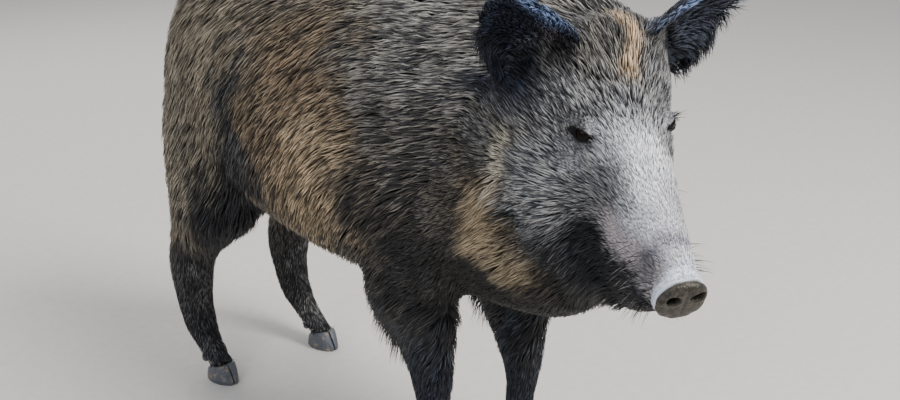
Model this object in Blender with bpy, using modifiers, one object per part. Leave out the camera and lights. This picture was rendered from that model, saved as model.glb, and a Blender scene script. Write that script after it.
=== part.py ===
"""Wild boar sow, a still life-size model that stands on a museum floor.

The animal faces -Y, so its right side is at -X, and +Z is up from the floor at z = 0.
It stands on four feet, with its head raised, tipped down and turned a little to its right.
Sizes are metres and reach the tips of the coat.
"""
import math

import bmesh
import bpy
from mathutils import Matrix, Vector

# Driving dimensions
SHOULDER_HEIGHT = 0.84  # floor to the top of the mane over the shoulder
DRAWN_HEIGHT = 0.896  # the same height in the sizes below, which are brought to scale at the end
GAP = 0.00032  # clearance between neighbouring pieces, 0.3 mm at the final scale
BODY_VOXEL = 0.009  # grain of the blended body
BODY_SMOOTHING = 9  # rounds of smoothing where its masses meet
BODY_SHARE = 0.0455  # share of its triangles that the blended body keeps
RING_POINTS = 28  # points round each cross-section
TRUNK_ROUNDNESS = 2.2  # power of the cross-sections' curves: 2 is an ellipse
HEAD_ROUNDNESS = 2.35

# The trunk and the neck, from the rump to the nape:
# distance along Y, top, bottom, half width, height of the widest place
# (the neck's have its middle's distance sideways after the bottom, as it bends to the right)
TRUNK = (
    (0.484, 0.65, 0.47, 0.042, 0.56),
    (0.470, 0.725, 0.44, 0.074, 0.56),
    (0.430, 0.778, 0.41, 0.106, 0.56),
    (0.355, 0.808, 0.40, 0.134, 0.56),
    (0.220, 0.826, 0.385, 0.158, 0.55),
    (0.050, 0.842, 0.356, 0.173, 0.53),
    (-0.120, 0.865, 0.343, 0.176, 0.52),
    (-0.260, 0.888, 0.350, 0.168, 0.54),
    (-0.380, 0.895, 0.368, 0.150, 0.58),
    (-0.460, 0.888, 0.390, 0.125, 0.62),
)
NECK = (
    (-0.300, 0.888, 0.362, 0.000, 0.145, 0.58),
    (-0.400, 0.896, 0.364, -0.002, 0.146, 0.60),
    (-0.480, 0.890, 0.368, -0.006, 0.138, 0.62),
    (-0.560, 0.876, 0.385, -0.014, 0.124, 0.65),
    (-0.615, 0.850, 0.425, -0.022, 0.100, 0.67),
    (-0.650, 0.805, 0.480, -0.028, 0.060, 0.66),
)

# The head, from the nape to the snout, in its own frame with the eyes' middle as the origin:
# distance forward, top, bottom, half width, height of the widest place
HEAD_PLACE = Vector((-0.040, -0.662, 0.710))
HEAD_TURN = math.radians(25)  # to the animal's right
HEAD_TIP = math.radians(28)  # muzzle below level
HEAD_ROLL = math.radians(-3)
HEAD = (
    (-0.205, 0.080, -0.170, 0.085, -0.06),
    (-0.160, 0.108, -0.210, 0.110, -0.07),
    (-0.100, 0.110, -0.225, 0.116, -0.08),
    (-0.050, 0.082, -0.228, 0.102, -0.08),
    (0.000, 0.046, -0.233, 0.080, -0.080),
    (0.050, 0.020, -0.234, 0.065, -0.085),
    (0.100, 0.000, -0.229, 0.055, -0.090),
    (0.140, -0.013, -0.220, 0.048, -0.092),
    (0.175, -0.024, -0.190, 0.040, -0.090),
    (0.203, -0.036, -0.150, 0.035, -0.086),
    (0.220, -0.043, -0.118, 0.0345, -0.081),
    (0.234, -0.044, -0.118, 0.040, -0.081),
    (0.246, -0.048, -0.114, 0.037, -0.081),
)
EYE_RADIUS = 0.0135
EYE_PLACE = (0.0585, 0.000, 0.000)  # the left eye: sideways, forward, up
EYE_OPENING = (0.010, 0.0165, 0.0110)  # half sizes of the hollow between the lids
EYE_OPENING_OUT = 0.0110  # its middle lies this far outside the eyeball's
MOUTH_HEIGHT = -0.114
MOUTH_CORNER = 0.055  # distance forward of the corner of the mouth
JAW_BOTTOM = -0.245
SNOUT_CUT = 0.214  # distance forward of the back of the snout's disc
NOSTRIL_PLACE = (0.0165, 0.246, -0.079)
NOSTRIL_RADII = (0.0062, 0.012, 0.0078)

# Each ear: base in the head's frame, then its axis, length, half width and thickness
EAR_BASE = (0.084, -0.094, 0.022)
EAR_AXIS = (0.50, -0.10, 0.86)
EAR_FACE = (0.42, 0.90, 0.05)  # the way its hollow opens
EAR_LENGTH = 0.205
EAR_HALF_WIDTH = 0.072
EAR_THICKNESS = 0.016
EAR_HOLLOW = 0.032
EAR_LEAN = 0.018  # how far the tip bends forward
EAR_SINK = 0.03  # how far its root starts inside the head
EAR_ROOT_SHARE = 0.82  # width at the root as a share of the widest place
EAR_TIP_SHARE = 0.10  # width at the tip

# The legs from the hoof up: height, distance ahead of or behind the hoof, half width, half depth,
# and how far the middle lies inside the foot's own line
FORE_LEG = (
    (0.030, 0.000, 0.026, 0.031, 0.000),
    (0.060, 0.008, 0.025, 0.028, 0.000),
    (0.086, 0.014, 0.028, 0.032, 0.000),
    (0.130, 0.017, 0.026, 0.029, 0.000),
    (0.185, 0.012, 0.031, 0.035, 0.000),
    (0.235, 0.020, 0.035, 0.054, 0.000),
    (0.300, 0.042, 0.045, 0.088, -0.004),
    (0.360, 0.052, 0.056, 0.108, -0.008),
    (0.450, 0.050, 0.066, 0.115, -0.008),
    (0.560, 0.040, 0.060, 0.110, 0.000),
    (0.640, 0.030, 0.035, 0.070, 0.010),
)
HIND_LEG = (
    (0.030, 0.000, 0.028, 0.034, 0.000),
    (0.060, 0.034, 0.030, 0.034, 0.000),
    (0.086, 0.060, 0.034, 0.038, 0.000),
    (0.140, 0.077, 0.036, 0.041, 0.000),
    (0.200, 0.082, 0.040, 0.053, 0.000),
    (0.245, 0.077, 0.044, 0.061, 0.000),
    (0.305, 0.040, 0.054, 0.085, 0.000),
    (0.365, 0.010, 0.064, 0.130, 0.004),
    (0.450, 0.022, 0.070, 0.155, 0.022),
    (0.550, 0.048, 0.066, 0.150, 0.040),
    (0.650, 0.065, 0.045, 0.115, 0.050),
)
FEET = {  # middle of each foot on the floor, its leg's stations, and how far its shank is set back
    "front_right": ((-0.079, -0.331), FORE_LEG, 0.0),
    "front_left": ((0.090, -0.376), FORE_LEG, 0.0),
    "hind_right": ((-0.114, 0.264), HIND_LEG, 0.012),
    "hind_left": ((0.126, 0.244), HIND_LEG, 0.034),
}
SHANK = (0.03, 0.33)  # heights between which a shank is set back, most in the middle
SHANK_SQUARENESS = 0.65  # below 1, it is set back almost as far near its two ends
CORONET = 0.034  # height of the hooves' upper edge at the middle
CORONET_SLOPE = math.radians(12)  # it rises to the front
HOOF_LENGTH = 0.070
HOOF_WIDTH = 0.0250
HOOF_TOP = 0.046  # highest place of the uncut claw
CLEFT = 0.003  # between the two hooves of a foot
HOOF_STATIONS = (  # share of the length from the heel, of the width and of the height
    (0.00, 0.60, 0.40),
    (0.10, 0.86, 0.60),
    (0.34, 1.00, 0.84),
    (0.55, 0.97, 1.04),
    (0.72, 0.82, 0.82),
    (0.88, 0.58, 0.46),
    (1.00, 0.22, 0.14),
)
HOOF_SECTION = ((0, 0), (1, 0), (0.98, 0.35), (0.86, 0.80), (0.55, 1), (0, 1))  # round a station
DEWCLAW_LENGTH = 0.026
DEWCLAW_RADIUS = 0.0085
DEWCLAW_SIDE = 0.015  # distance of each from the foot's middle line
DEWCLAW_BEHIND = {"front": 0.032, "hind": 0.041}
DEWCLAW_HEIGHT = 0.040
DEWCLAW_LEAN = math.radians(28)  # tips backwards
DEWCLAW_SPLAY = math.radians(14)
LEG_CUTS = {"front": 0.352, "hind": 0.378}  # height where a leg meets the trunk
LEG_CUT_INNER = 0.022  # distance from the body's middle where a leg's node begins
LEG_CUT_AHEAD = 0.17  # and how far it goes ahead of the foot and behind it
LEG_CUT_BEHIND = 0.18
HEAD_CUT = -0.125  # distance forward of the plane where the head meets the neck
NECK_CUT = -0.33  # place along Y of the plane where the neck meets the trunk
BEYOND = 0.4  # a distance that reaches past the body from the head or the middle

TAIL = (  # sideways, along Y, height and radius, from the root to the tuft
    (0.000, 0.450, 0.660, 0.021),
    (0.000, 0.490, 0.640, 0.020),
    (0.001, 0.509, 0.590, 0.016),
    (0.003, 0.514, 0.510, 0.014),
    (0.006, 0.512, 0.430, 0.019),
    (0.008, 0.508, 0.370, 0.017),
    (0.009, 0.505, 0.325, 0.007),
)

COLOURS = {  # base colour and roughness of each kind of piece
    "coat": ((0.105, 0.080, 0.058), 0.85),
    "dark_coat": ((0.022, 0.022, 0.026), 0.80),
    "snout": ((0.115, 0.100, 0.085), 0.55),
    "eye": ((0.020, 0.013, 0.010), 0.12),
    "hoof": ((0.085, 0.090, 0.100), 0.45),
}


def start_empty():
    """Clear the scene and make the collections of parts and cutters."""
    for old in list(bpy.data.objects):
        bpy.data.objects.remove(old)
    parts = bpy.data.collections.new("wild_boar")
    cutters = bpy.data.collections.new("cutters")
    for collection in (parts, cutters):
        bpy.context.scene.collection.children.link(collection)
    return parts, cutters


PARTS, CUTTERS = start_empty()


def material(kind):
    """The plain material of one kind of piece."""
    name = "boar_" + kind
    if name in bpy.data.materials:
        return bpy.data.materials[name]
    colour, roughness = COLOURS[kind]
    made = bpy.data.materials.new(name)
    made.use_nodes = True
    shader = made.node_tree.nodes["Principled BSDF"]
    shader.inputs["Base Color"].default_value = (*colour, 1.0)
    shader.inputs["Roughness"].default_value = roughness
    shader.inputs["Metallic"].default_value = 0.0
    return made


def from_bmesh(name, bm, collection):
    """Turn a bmesh into an object of a collection."""
    mesh = bpy.data.meshes.new(name)
    bm.to_mesh(mesh)
    bm.free()
    made = bpy.data.objects.new(name, mesh)
    collection.objects.link(made)
    return made


def applied(made):
    """Replace an object's mesh by what its modifiers and its place give."""
    graph = bpy.context.evaluated_depsgraph_get()
    mesh = bpy.data.meshes.new_from_object(made.evaluated_get(graph))
    mesh.transform(made.matrix_world)
    made.modifiers.clear()
    made.matrix_world = Matrix.Identity(4)
    made.data = mesh
    return made


def duplicate(made, name, collection):
    """A copy of an object with a mesh of its own."""
    twin = bpy.data.objects.new(name, made.data.copy())
    collection.objects.link(twin)
    return twin


def boolean(made, cutter, operation):
    """Cut an object by another, or keep what they share."""
    modifier = made.modifiers.new(operation.title(), "BOOLEAN")
    modifier.operation = operation
    modifier.object = cutter
    modifier.solver = "EXACT"
    bpy.context.view_layer.update()
    return applied(made)


def hide_cutter(cutter):
    """Keep a cutter out of the picture."""
    cutter.hide_render = True
    cutter.display_type = "WIRE"
    return cutter


def smooth_through(stations, parts_per_span=4):
    """Stations on a smooth curve through the given ones (Catmull-Rom, by span length)."""
    rows = [Vector(s) for s in stations]
    dense = []
    for i in range(len(rows) - 1):
        a, b = rows[i], rows[i + 1]
        before = rows[i - 1] if i else a
        after = rows[i + 2] if i + 2 < len(rows) else b
        span = abs(b[0] - a[0])
        lead_in = (b - before) * (span / abs(b[0] - before[0]))
        lead_out = (after - a) * (span / abs(after[0] - a[0]))
        for k in range(parts_per_span):
            t = k / parts_per_span
            dense.append(
                a * (2 * t**3 - 3 * t**2 + 1)
                + lead_in * (t**3 - 2 * t**2 + t)
                + b * (3 * t**2 - 2 * t**3)
                + lead_out * (t**3 - t**2)
            )
    dense.append(rows[-1])
    return dense


def loft(bm, rings):
    """Skin a row of closed rings of points and close its two ends."""
    loops = [[bm.verts.new(p) for p in ring] for ring in rings]
    for one, two in zip(loops, loops[1:]):
        for i, corner in enumerate(one):
            j = (i + 1) % len(one)
            bm.faces.new((corner, one[j], two[j], two[i]))
    bm.faces.new(loops[0])
    bm.faces.new(loops[-1])


def egg_ring(top, bottom, half_width, widest, roundness):
    """Sideways and upward places round an egg-shaped cross-section."""
    for i in range(RING_POINTS):
        angle = 2 * math.pi * i / RING_POINTS
        side, rise = math.cos(angle), math.sin(angle)
        reach = top - widest if rise > 0 else widest - bottom
        yield (
            half_width * math.copysign(abs(side) ** (2 / roundness), side),
            widest + reach * math.copysign(abs(rise) ** (2 / roundness), rise),
        )


def head_matrix():
    """Place and turn of the head's frame: X to its left, Y backwards, Z up."""
    turn = Matrix.Rotation(-HEAD_TURN, 4, "Z")
    tip = Matrix.Rotation(HEAD_TIP, 4, "X")
    roll = Matrix.Rotation(HEAD_ROLL, 4, "Y")
    return Matrix.Translation(HEAD_PLACE) @ turn @ tip @ roll


HEAD_FRAME = head_matrix()


def in_head(sideways, forward, up):
    """A place given in the head's frame, in the world."""
    return HEAD_FRAME @ Vector((sideways, -forward, up))


def body_masses():
    """Trunk, neck, head and legs as overlapping closed shapes in one mesh."""
    bm = bmesh.new()
    for rows in (smooth_through([(y, t, b, 0.0, w, h) for y, t, b, w, h in TRUNK]), smooth_through(NECK)):
        rings = []
        for y, top, bottom, middle, *width in rows:
            egg = egg_ring(top, bottom, *width, TRUNK_ROUNDNESS)
            rings.append([Vector((middle + x, y, z)) for x, z in egg])
        loft(bm, rings)
    rings = []
    for forward, *egg in smooth_through(HEAD):
        rings.append([in_head(x, forward, z) for x, z in egg_ring(*egg, HEAD_ROUNDNESS)])
    loft(bm, rings)
    for foot, leg, set_back in FEET.values():
        loft(bm, leg_rings(foot, leg, set_back))
    bmesh.ops.recalc_face_normals(bm, faces=bm.faces)
    return from_bmesh("body", bm, CUTTERS)


def leg_rings(foot, stations, set_back):
    """The level cross-sections of one leg."""
    side = math.copysign(1, foot[0])
    rings = []
    for z, behind, half_width, half_depth, inward in smooth_through(stations):
        share = min(max((z - SHANK[0]) / (SHANK[1] - SHANK[0]), 0.0), 1.0)
        behind += set_back * math.sin(math.pi * share) ** SHANK_SQUARENESS
        middle = Vector((foot[0] - side * inward, foot[1] + behind, z))
        ring = []
        for i in range(RING_POINTS):
            angle = 2 * math.pi * i / RING_POINTS
            ring.append(middle + Vector((half_width * math.cos(angle), half_depth * math.sin(angle), 0)))
        rings.append(ring)
    return rings


def blend(body):
    """Melt the masses into one smooth closed body and thin out its triangles."""
    melt = body.modifiers.new("Melt", "REMESH")
    melt.mode = "VOXEL"
    melt.voxel_size = BODY_VOXEL
    melt.use_smooth_shade = True
    relax = body.modifiers.new("Relax", "SMOOTH")
    relax.factor = 0.5
    relax.iterations = BODY_SMOOTHING
    thin = body.modifiers.new("Thin", "DECIMATE")
    thin.ratio = BODY_SHARE
    thin.use_collapse_triangulate = True
    return applied(body)


def box(name, lowest, highest, frame=None):
    """A cutting box between two corners of a frame."""
    bm = bmesh.new()
    bmesh.ops.create_cube(bm, size=1.0)
    low, high = Vector(lowest), Vector(highest)
    size = high - low
    bmesh.ops.scale(bm, vec=size, verts=bm.verts)
    bmesh.ops.translate(bm, vec=(low + high) / 2, verts=bm.verts)
    if frame is not None:
        bmesh.ops.transform(bm, matrix=frame, verts=bm.verts)
    return hide_cutter(from_bmesh(name, bm, CUTTERS))


def grown_box(name, lowest, highest, frame=None):
    """The same box, larger by the clearance on every side."""
    grow = Vector((GAP, GAP, GAP))
    return box(name, Vector(lowest) - grow, Vector(highest) + grow, frame)


def part_off(body, name, kind, lowest, highest, frame=None):
    """Part a named piece off the body with a thin cut round a box."""
    piece = duplicate(body, name, PARTS)
    boolean(piece, box(name + "_keep", lowest, highest, frame), "INTERSECT")
    boolean(body, grown_box(name + "_cut", lowest, highest, frame), "DIFFERENCE")
    finish(piece, kind)
    return piece


def finish(piece, kind):
    """Give a piece its material and smooth shading."""
    piece.data.materials.clear()
    piece.data.materials.append(material(kind))
    piece.data.shade_smooth()


def ball(name, radii, collection, place=None, segments=16, rings=10):
    """A round or oval ball."""
    bm = bmesh.new()
    bmesh.ops.create_uvsphere(bm, u_segments=segments, v_segments=rings, radius=1.0)
    bmesh.ops.scale(bm, vec=radii, verts=bm.verts)
    if place is not None:
        bmesh.ops.transform(bm, matrix=place, verts=bm.verts)
    return from_bmesh(name, bm, collection)


def mirrored(place, side):
    """A place of the left side, or its twin on the right where side is -1."""
    return (side * place[0], *place[1:])


def make_eyes(body):
    """Two eyeballs, and the sockets that hold them."""
    for side, word in ((1, "left"), (-1, "right")):
        centre = Matrix.Translation(in_head(*mirrored(EYE_PLACE, side)))
        socket = ball("socket_" + word, Vector.Fill(3, EYE_RADIUS + GAP), CUTTERS, centre)
        boolean(body, hide_cutter(socket), "DIFFERENCE")
        outward = mirrored((EYE_PLACE[0] + EYE_OPENING_OUT, *EYE_PLACE[1:]), side)
        place = Matrix.Translation(in_head(*outward)) @ HEAD_FRAME.to_3x3().to_4x4()
        boolean(body, hide_cutter(ball("lids_" + word, EYE_OPENING, CUTTERS, place)), "DIFFERENCE")
        finish(ball("eye_" + word, Vector.Fill(3, EYE_RADIUS), PARTS, centre), "eye")


def make_nostrils(body):
    """Two blind hollows in the snout's disc."""
    for side in (1, -1):
        place = Matrix.Translation(in_head(*mirrored(NOSTRIL_PLACE, side))) @ HEAD_FRAME.to_3x3().to_4x4()
        hollow = ball("nostril", NOSTRIL_RADII, CUTTERS, place, 14, 8)
        boolean(body, hide_cutter(hollow), "DIFFERENCE")


def ear_shape(side, collection):
    """A cupped leaf: a grid bent to its outline, then given its thickness."""
    axis = Vector(mirrored(EAR_AXIS, side)).normalized()
    face = Vector(mirrored(EAR_FACE, side))
    face = (face - axis * face.dot(axis)).normalized()
    across = axis.cross(face)
    bm = bmesh.new()
    bmesh.ops.create_grid(bm, x_segments=5, y_segments=6, size=1.0)
    for vert in bm.verts:
        u, t = vert.co.x, (vert.co.y + 1) / 2
        bulge = EAR_ROOT_SHARE + (1 - EAR_ROOT_SHARE) * math.sin(math.pi * min(t * 1.2, 1))
        share = bulge * (1 - t**3) ** 0.5
        width = EAR_HALF_WIDTH * max(share, EAR_TIP_SHARE)
        cup = EAR_HOLLOW * share * (1 - u * u)
        lean = EAR_LEAN * t * t
        local = axis * (EAR_LENGTH * t - EAR_SINK) + across * (width * u) - face * (cup - lean)
        vert.co = in_head(*(Vector(mirrored(EAR_BASE, side)) + local))
    made = from_bmesh("ear_left" if side > 0 else "ear_right", bm, collection)
    shell = made.modifiers.new("Thickness", "SOLIDIFY")
    shell.thickness = EAR_THICKNESS
    shell.offset = 0.0
    soft = made.modifiers.new("Soft", "SUBSURF")
    soft.levels = 1
    soft.render_levels = 1
    return made


def oriented(made):
    """Point an object's faces outwards."""
    bm = bmesh.new()
    bm.from_mesh(made.data)
    bmesh.ops.recalc_face_normals(bm, faces=bm.faces)
    bm.to_mesh(made.data)
    bm.free()
    return made


def grown(made, name):
    """A cutter with an object's shape, larger by the clearance."""
    twin = duplicate(made, name, CUTTERS)
    swell = twin.modifiers.new("Swell", "DISPLACE")
    swell.strength = GAP
    swell.mid_level = 0.0
    return hide_cutter(applied(twin))


def make_ears(body):
    """Two ears whose roots are cut to lie on the head."""
    for side in (1, -1):
        ear = oriented(applied(ear_shape(side, PARTS)))
        boolean(ear, grown(body, ear.name + "_bed"), "DIFFERENCE")
        keep_largest(ear)
        finish(ear, "dark_coat")


def keep_largest(made):
    """Drop the scraps of a cut and keep the largest piece."""
    bm = bmesh.new()
    bm.from_mesh(made.data)
    seen, groups = set(), []
    for start in bm.verts:
        if start in seen:
            continue
        group, queue = [], [start]
        seen.add(start)
        while queue:
            vert = queue.pop()
            group.append(vert)
            for edge in vert.link_edges:
                other = edge.other_vert(vert)
                if other not in seen:
                    seen.add(other)
                    queue.append(other)
        groups.append(group)
    groups.sort(key=len, reverse=True)
    for group in groups[1:]:
        bmesh.ops.delete(bm, geom=group, context="VERTS")
    bm.to_mesh(made.data)
    bm.free()
    return made


def make_tail(body):
    """The hanging tail with its tuft, cut to lie on the rump."""
    curve = bpy.data.curves.new("tail", "CURVE")
    curve.dimensions = "3D"
    curve.bevel_depth = 1.0
    curve.bevel_resolution = 2
    curve.use_fill_caps = True
    spline = curve.splines.new("POLY")
    rows = smooth_through([(z, x, y, r) for x, y, z, r in TAIL], 3)
    spline.points.add(len(rows) - 1)
    for point, (z, x, y, radius) in zip(spline.points, rows):
        point.co = (x, y, z, 1)
        point.radius = radius
    tube = bpy.data.objects.new("tail_curve", curve)
    CUTTERS.objects.link(tube)
    bpy.context.view_layer.update()
    mesh = bpy.data.meshes.new_from_object(tube.evaluated_get(bpy.context.evaluated_depsgraph_get()))
    tail = bpy.data.objects.new("tail", mesh)
    tail.matrix_world = tube.matrix_world
    PARTS.objects.link(tail)
    bpy.data.objects.remove(tube)
    bm = bmesh.new()
    bm.from_mesh(mesh)
    bmesh.ops.remove_doubles(bm, verts=bm.verts, dist=1e-5)
    bmesh.ops.recalc_face_normals(bm, faces=bm.faces)
    bm.to_mesh(mesh)
    bm.free()
    boolean(tail, grown(body, "tail_bed"), "DIFFERENCE")
    finish(keep_largest(tail), "dark_coat")


def hoof_mesh(side):
    """One claw: a wedge with a flat sole, a straight inner wall and a rounded toe."""
    bm = bmesh.new()
    rings = []
    for along, wide, high in HOOF_STATIONS:
        y = HOOF_LENGTH * (0.5 - along)
        w, h = HOOF_WIDTH * wide, HOOF_TOP * high
        rings.append([Vector((side * (CLEFT / 2 + w * x), y, h * z)) for x, z in HOOF_SECTION])
    loft(bm, rings)
    bmesh.ops.recalc_face_normals(bm, faces=bm.faces)
    return bm


def foot_matrix(foot, height=0.0):
    """The place over a foot's middle at a height."""
    return Matrix.Translation((foot[0], foot[1], height))


def make_feet(legs):
    """The hooves and dewclaws, and the sloping upper edge where they meet each leg."""
    slope = Matrix.Rotation(-CORONET_SLOPE, 4, "X")
    for name, (foot, _, _) in FEET.items():
        leg = legs[name]
        above = foot_matrix(foot, CORONET) @ slope
        boolean(leg, box(name + "_sole", (-0.1, -0.1, -0.1), (0.1, 0.1, GAP), above), "DIFFERENCE")
        for side, word in ((1, "a"), (-1, "b")):
            bm = hoof_mesh(side)
            bmesh.ops.transform(bm, matrix=foot_matrix(foot), verts=bm.verts)
            hoof = from_bmesh(f"hoof_{name}_{word}", bm, PARTS)
            boolean(hoof, box(name + "_top" + word, (-0.1, -0.1, 0), (0.1, 0.1, 0.1), above), "DIFFERENCE")
            finish(hoof, "hoof")
            make_dewclaw(name, foot, leg, side, word)


def make_dewclaw(name, foot, leg, side, word):
    """A small claw behind the pastern, cut to lie on the leg."""
    lean = Matrix.Rotation(DEWCLAW_LEAN, 4, "X") @ Matrix.Rotation(side * DEWCLAW_SPLAY, 4, "Y")
    behind = DEWCLAW_BEHIND[name.split("_")[0]]
    place = Matrix.Translation((foot[0] + side * DEWCLAW_SIDE, foot[1] + behind, DEWCLAW_HEIGHT)) @ lean
    radii = (DEWCLAW_RADIUS, DEWCLAW_RADIUS, DEWCLAW_LENGTH / 2)
    claw = ball(f"dewclaw_{name}_{word}", radii, PARTS, place, 8, 6)
    boolean(claw, grown(leg, claw.name + "_bed"), "DIFFERENCE")
    finish(keep_largest(claw), "hoof")


def make_legs(body):
    """Part the four legs off the trunk."""
    legs = {}
    for name, (foot, _, _) in FEET.items():
        side = math.copysign(1, foot[0])
        near, far = side * LEG_CUT_INNER, side * BEYOND
        lowest = (min(near, far), foot[1] - LEG_CUT_AHEAD, 0.0)
        highest = (max(near, far), foot[1] + LEG_CUT_BEHIND, LEG_CUTS[name.split("_")[0]])
        legs[name] = part_off(body, "leg_" + name, "dark_coat", lowest, highest)
        keep_largest(legs[name])
    return legs


def settle():
    """Bring everything to scale, with the middle of its outer box standing on the origin."""
    corners = [m.co for made in PARTS.objects for m in made.data.vertices]
    middle = [(min(c[i] for c in corners) + max(c[i] for c in corners)) / 2 for i in (0, 1)]
    scale = Matrix.Scale(SHOULDER_HEIGHT / DRAWN_HEIGHT, 4)
    place = scale @ Matrix.Translation((-middle[0], -middle[1], 0))
    for made in (*PARTS.objects, *CUTTERS.objects):
        made.data.transform(place)


def make_muzzle_and_neck(body):
    """Part the snout's disc, the lower jaw, the head and the neck off the body, in that order."""
    lowest, highest = (-BEYOND, -BEYOND, -BEYOND), (BEYOND, -SNOUT_CUT, BEYOND)
    part_off(body, "snout", "snout", lowest, highest, HEAD_FRAME)
    lowest, highest = (-BEYOND, -BEYOND, JAW_BOTTOM), (BEYOND, -MOUTH_CORNER, MOUTH_HEIGHT)
    part_off(body, "lower_jaw", "dark_coat", lowest, highest, HEAD_FRAME)
    lowest, highest = (-BEYOND, -BEYOND, -BEYOND), (BEYOND, -HEAD_CUT, BEYOND)
    part_off(body, "head", "coat", lowest, highest, HEAD_FRAME)
    part_off(body, "neck", "coat", (-BEYOND, -1.0, 0.0), (BEYOND, NECK_CUT, 1.2))


def main():
    body = blend(body_masses())
    make_nostrils(body)
    make_eyes(body)
    make_ears(body)
    make_tail(body)
    legs = make_legs(body)
    make_muzzle_and_neck(body)
    finish(duplicate(body, "trunk", PARTS), "coat")
    make_feet(legs)
    bpy.data.objects.remove(body)
    settle()


main()
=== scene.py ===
"""Wild boar sow, a still life-size museum model: its skin, coat, eyes, hooves and stage."""
import math
from itertools import product

import bmesh
import bpy
import numpy as np
from bpy.props import FloatProperty, FloatVectorProperty, IntProperty, PointerProperty
from bpy.types import Operator, Panel, PropertyGroup
from mathutils import Matrix, Vector
from mathutils.bvhtree import BVHTree
from mathutils.kdtree import KDTree


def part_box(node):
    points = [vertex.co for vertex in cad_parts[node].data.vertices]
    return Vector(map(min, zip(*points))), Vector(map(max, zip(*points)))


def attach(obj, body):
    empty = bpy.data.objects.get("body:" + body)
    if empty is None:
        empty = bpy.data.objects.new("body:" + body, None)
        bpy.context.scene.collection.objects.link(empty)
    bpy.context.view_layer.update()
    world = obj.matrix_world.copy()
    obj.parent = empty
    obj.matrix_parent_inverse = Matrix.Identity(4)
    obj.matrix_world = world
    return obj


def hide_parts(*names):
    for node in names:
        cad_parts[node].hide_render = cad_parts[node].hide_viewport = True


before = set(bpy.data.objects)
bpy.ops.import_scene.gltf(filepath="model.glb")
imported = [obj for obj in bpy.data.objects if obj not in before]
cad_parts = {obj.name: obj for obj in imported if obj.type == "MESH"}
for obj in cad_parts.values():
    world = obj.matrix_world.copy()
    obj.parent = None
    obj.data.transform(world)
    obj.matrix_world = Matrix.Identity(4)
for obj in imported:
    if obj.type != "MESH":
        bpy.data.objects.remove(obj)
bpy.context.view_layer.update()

bl_info = {
    "name": "Wild Boar Model",
    "version": (1, 0, 0),
    "blender": (4, 5, 0),
    "location": "3D View > Sidebar > Boar",
    "description": "Builds the skin, coat, eyes and hooves of a life-size wild boar on its solid frame",
    "category": "Add Mesh",
}

FEET = ("front_right", "front_left", "hind_right", "hind_left")
FLESH = ("trunk", "neck", "head", "snout", "lower_jaw", "ear_left", "ear_right", "tail",
         *("leg_" + foot for foot in FEET))
SIDES = {"left": 1, "right": -1}
WELD = 1e-5  # corners of a solid nearer than this are one

# The head's own frame: origin midway between the eyes, X to its left, Y backwards, Z up
HEAD_TURN, HEAD_TIP, HEAD_ROLL = math.radians(25), math.radians(28), math.radians(-3)
NOSE_TIP = 0.2306  # distance forward of the snout's disc
DISC_MIDDLE = -0.0760  # its height in the head's frame
MOUTH_BACK = 0.052  # distance forward of the corner of the mouth
DISC_HALF_WIDTH, DISC_HALF_HEIGHT = 0.0365, 0.0325
EYE_AXIS = (0.78, 0.60, 0.22)  # the way the left eye looks: sideways, forward, up
EYE_TILT = math.radians(-4)  # how far the slit of the lids turns from level
EYES = {side: sum(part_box("eye_" + word), Vector()) / 2 for word, side in SIDES.items()}
EYE_RADIUS = (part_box("eye_left")[1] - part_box("eye_left")[0]).x / 2


def tone(red, green, blue):
    """A colour from its everyday 0-255 values, as light."""
    return tuple((part / 255) ** 2.2 for part in (red, green, blue))


def smoothstep(low, high, value):
    """A soft step from 0 at low to 1 at high, which may run downwards."""
    share = np.clip((value - low) / (high - low), 0.0, 1.0)
    return share * share * (3 - 2 * share)


def lerp(one, two, share):
    return one + (two - one) * share


def ridge(value, middle, width):
    """A soft ridge of height 1 over a middle value."""
    return np.exp(-(((value - middle) / width) ** 2))


def unit(vectors):
    """Vectors of length 1 along the given ones."""
    return vectors / np.maximum(np.linalg.norm(vectors, axis=-1, keepdims=True), 1e-9)


def along_surface(ways, normals):
    """Ways turned to lie in the surface, at length 1."""
    return unit(ways - normals * np.sum(ways * normals, axis=-1, keepdims=True))


def head_frame():
    """The head's frame as a matrix, placed by the two eyes."""
    turn = Matrix.Rotation(-HEAD_TURN, 4, "Z")
    tip = Matrix.Rotation(HEAD_TIP, 4, "X")
    roll = Matrix.Rotation(HEAD_ROLL, 4, "Y")
    return Matrix.Translation((EYES[1] + EYES[-1]) / 2) @ turn @ tip @ roll


HEAD = head_frame()
HEAD_TURNED = np.array(HEAD.to_3x3())
HEAD_ORIGIN = np.array(HEAD.translation)


def to_head(points):
    """Sideways, forward and up in the head's frame."""
    return (points - HEAD_ORIGIN) @ HEAD_TURNED * (1, -1, 1)


def head_direction(sideways, forward, up):
    """A direction given in the head's frame, in the world."""
    return HEAD_TURNED @ np.array((sideways, -forward, up), float)


def in_head(sideways, forward, up):
    """A place given in the head's frame, in the world."""
    return HEAD @ Vector((sideways, -forward, up))


# ---------------------------------------------------------------- meshes

def new_object(name, data):
    """An object in the scene's collection."""
    made = bpy.data.objects.new(name, data)
    bpy.context.scene.collection.objects.link(made)
    return made


def object_from(name, bm):
    """Turn a bmesh into an object."""
    mesh = bpy.data.meshes.new(name)
    bm.to_mesh(mesh)
    bm.free()
    return new_object(name, mesh)


def applied(made):
    """Replace an object's mesh by what its modifiers give."""
    bpy.context.view_layer.update()
    graph = bpy.context.evaluated_depsgraph_get()
    mesh = bpy.data.meshes.new_from_object(made.evaluated_get(graph))
    made.modifiers.clear()
    made.data = mesh
    return made


def finished(made, look, slot, *nodes):
    """Give a piece its material and its body, and hide the solids that it stands for."""
    made.data.materials.clear()
    made.data.materials.append(look)
    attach(made, "root")
    if nodes:
        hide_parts(*nodes)
    return made


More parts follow.
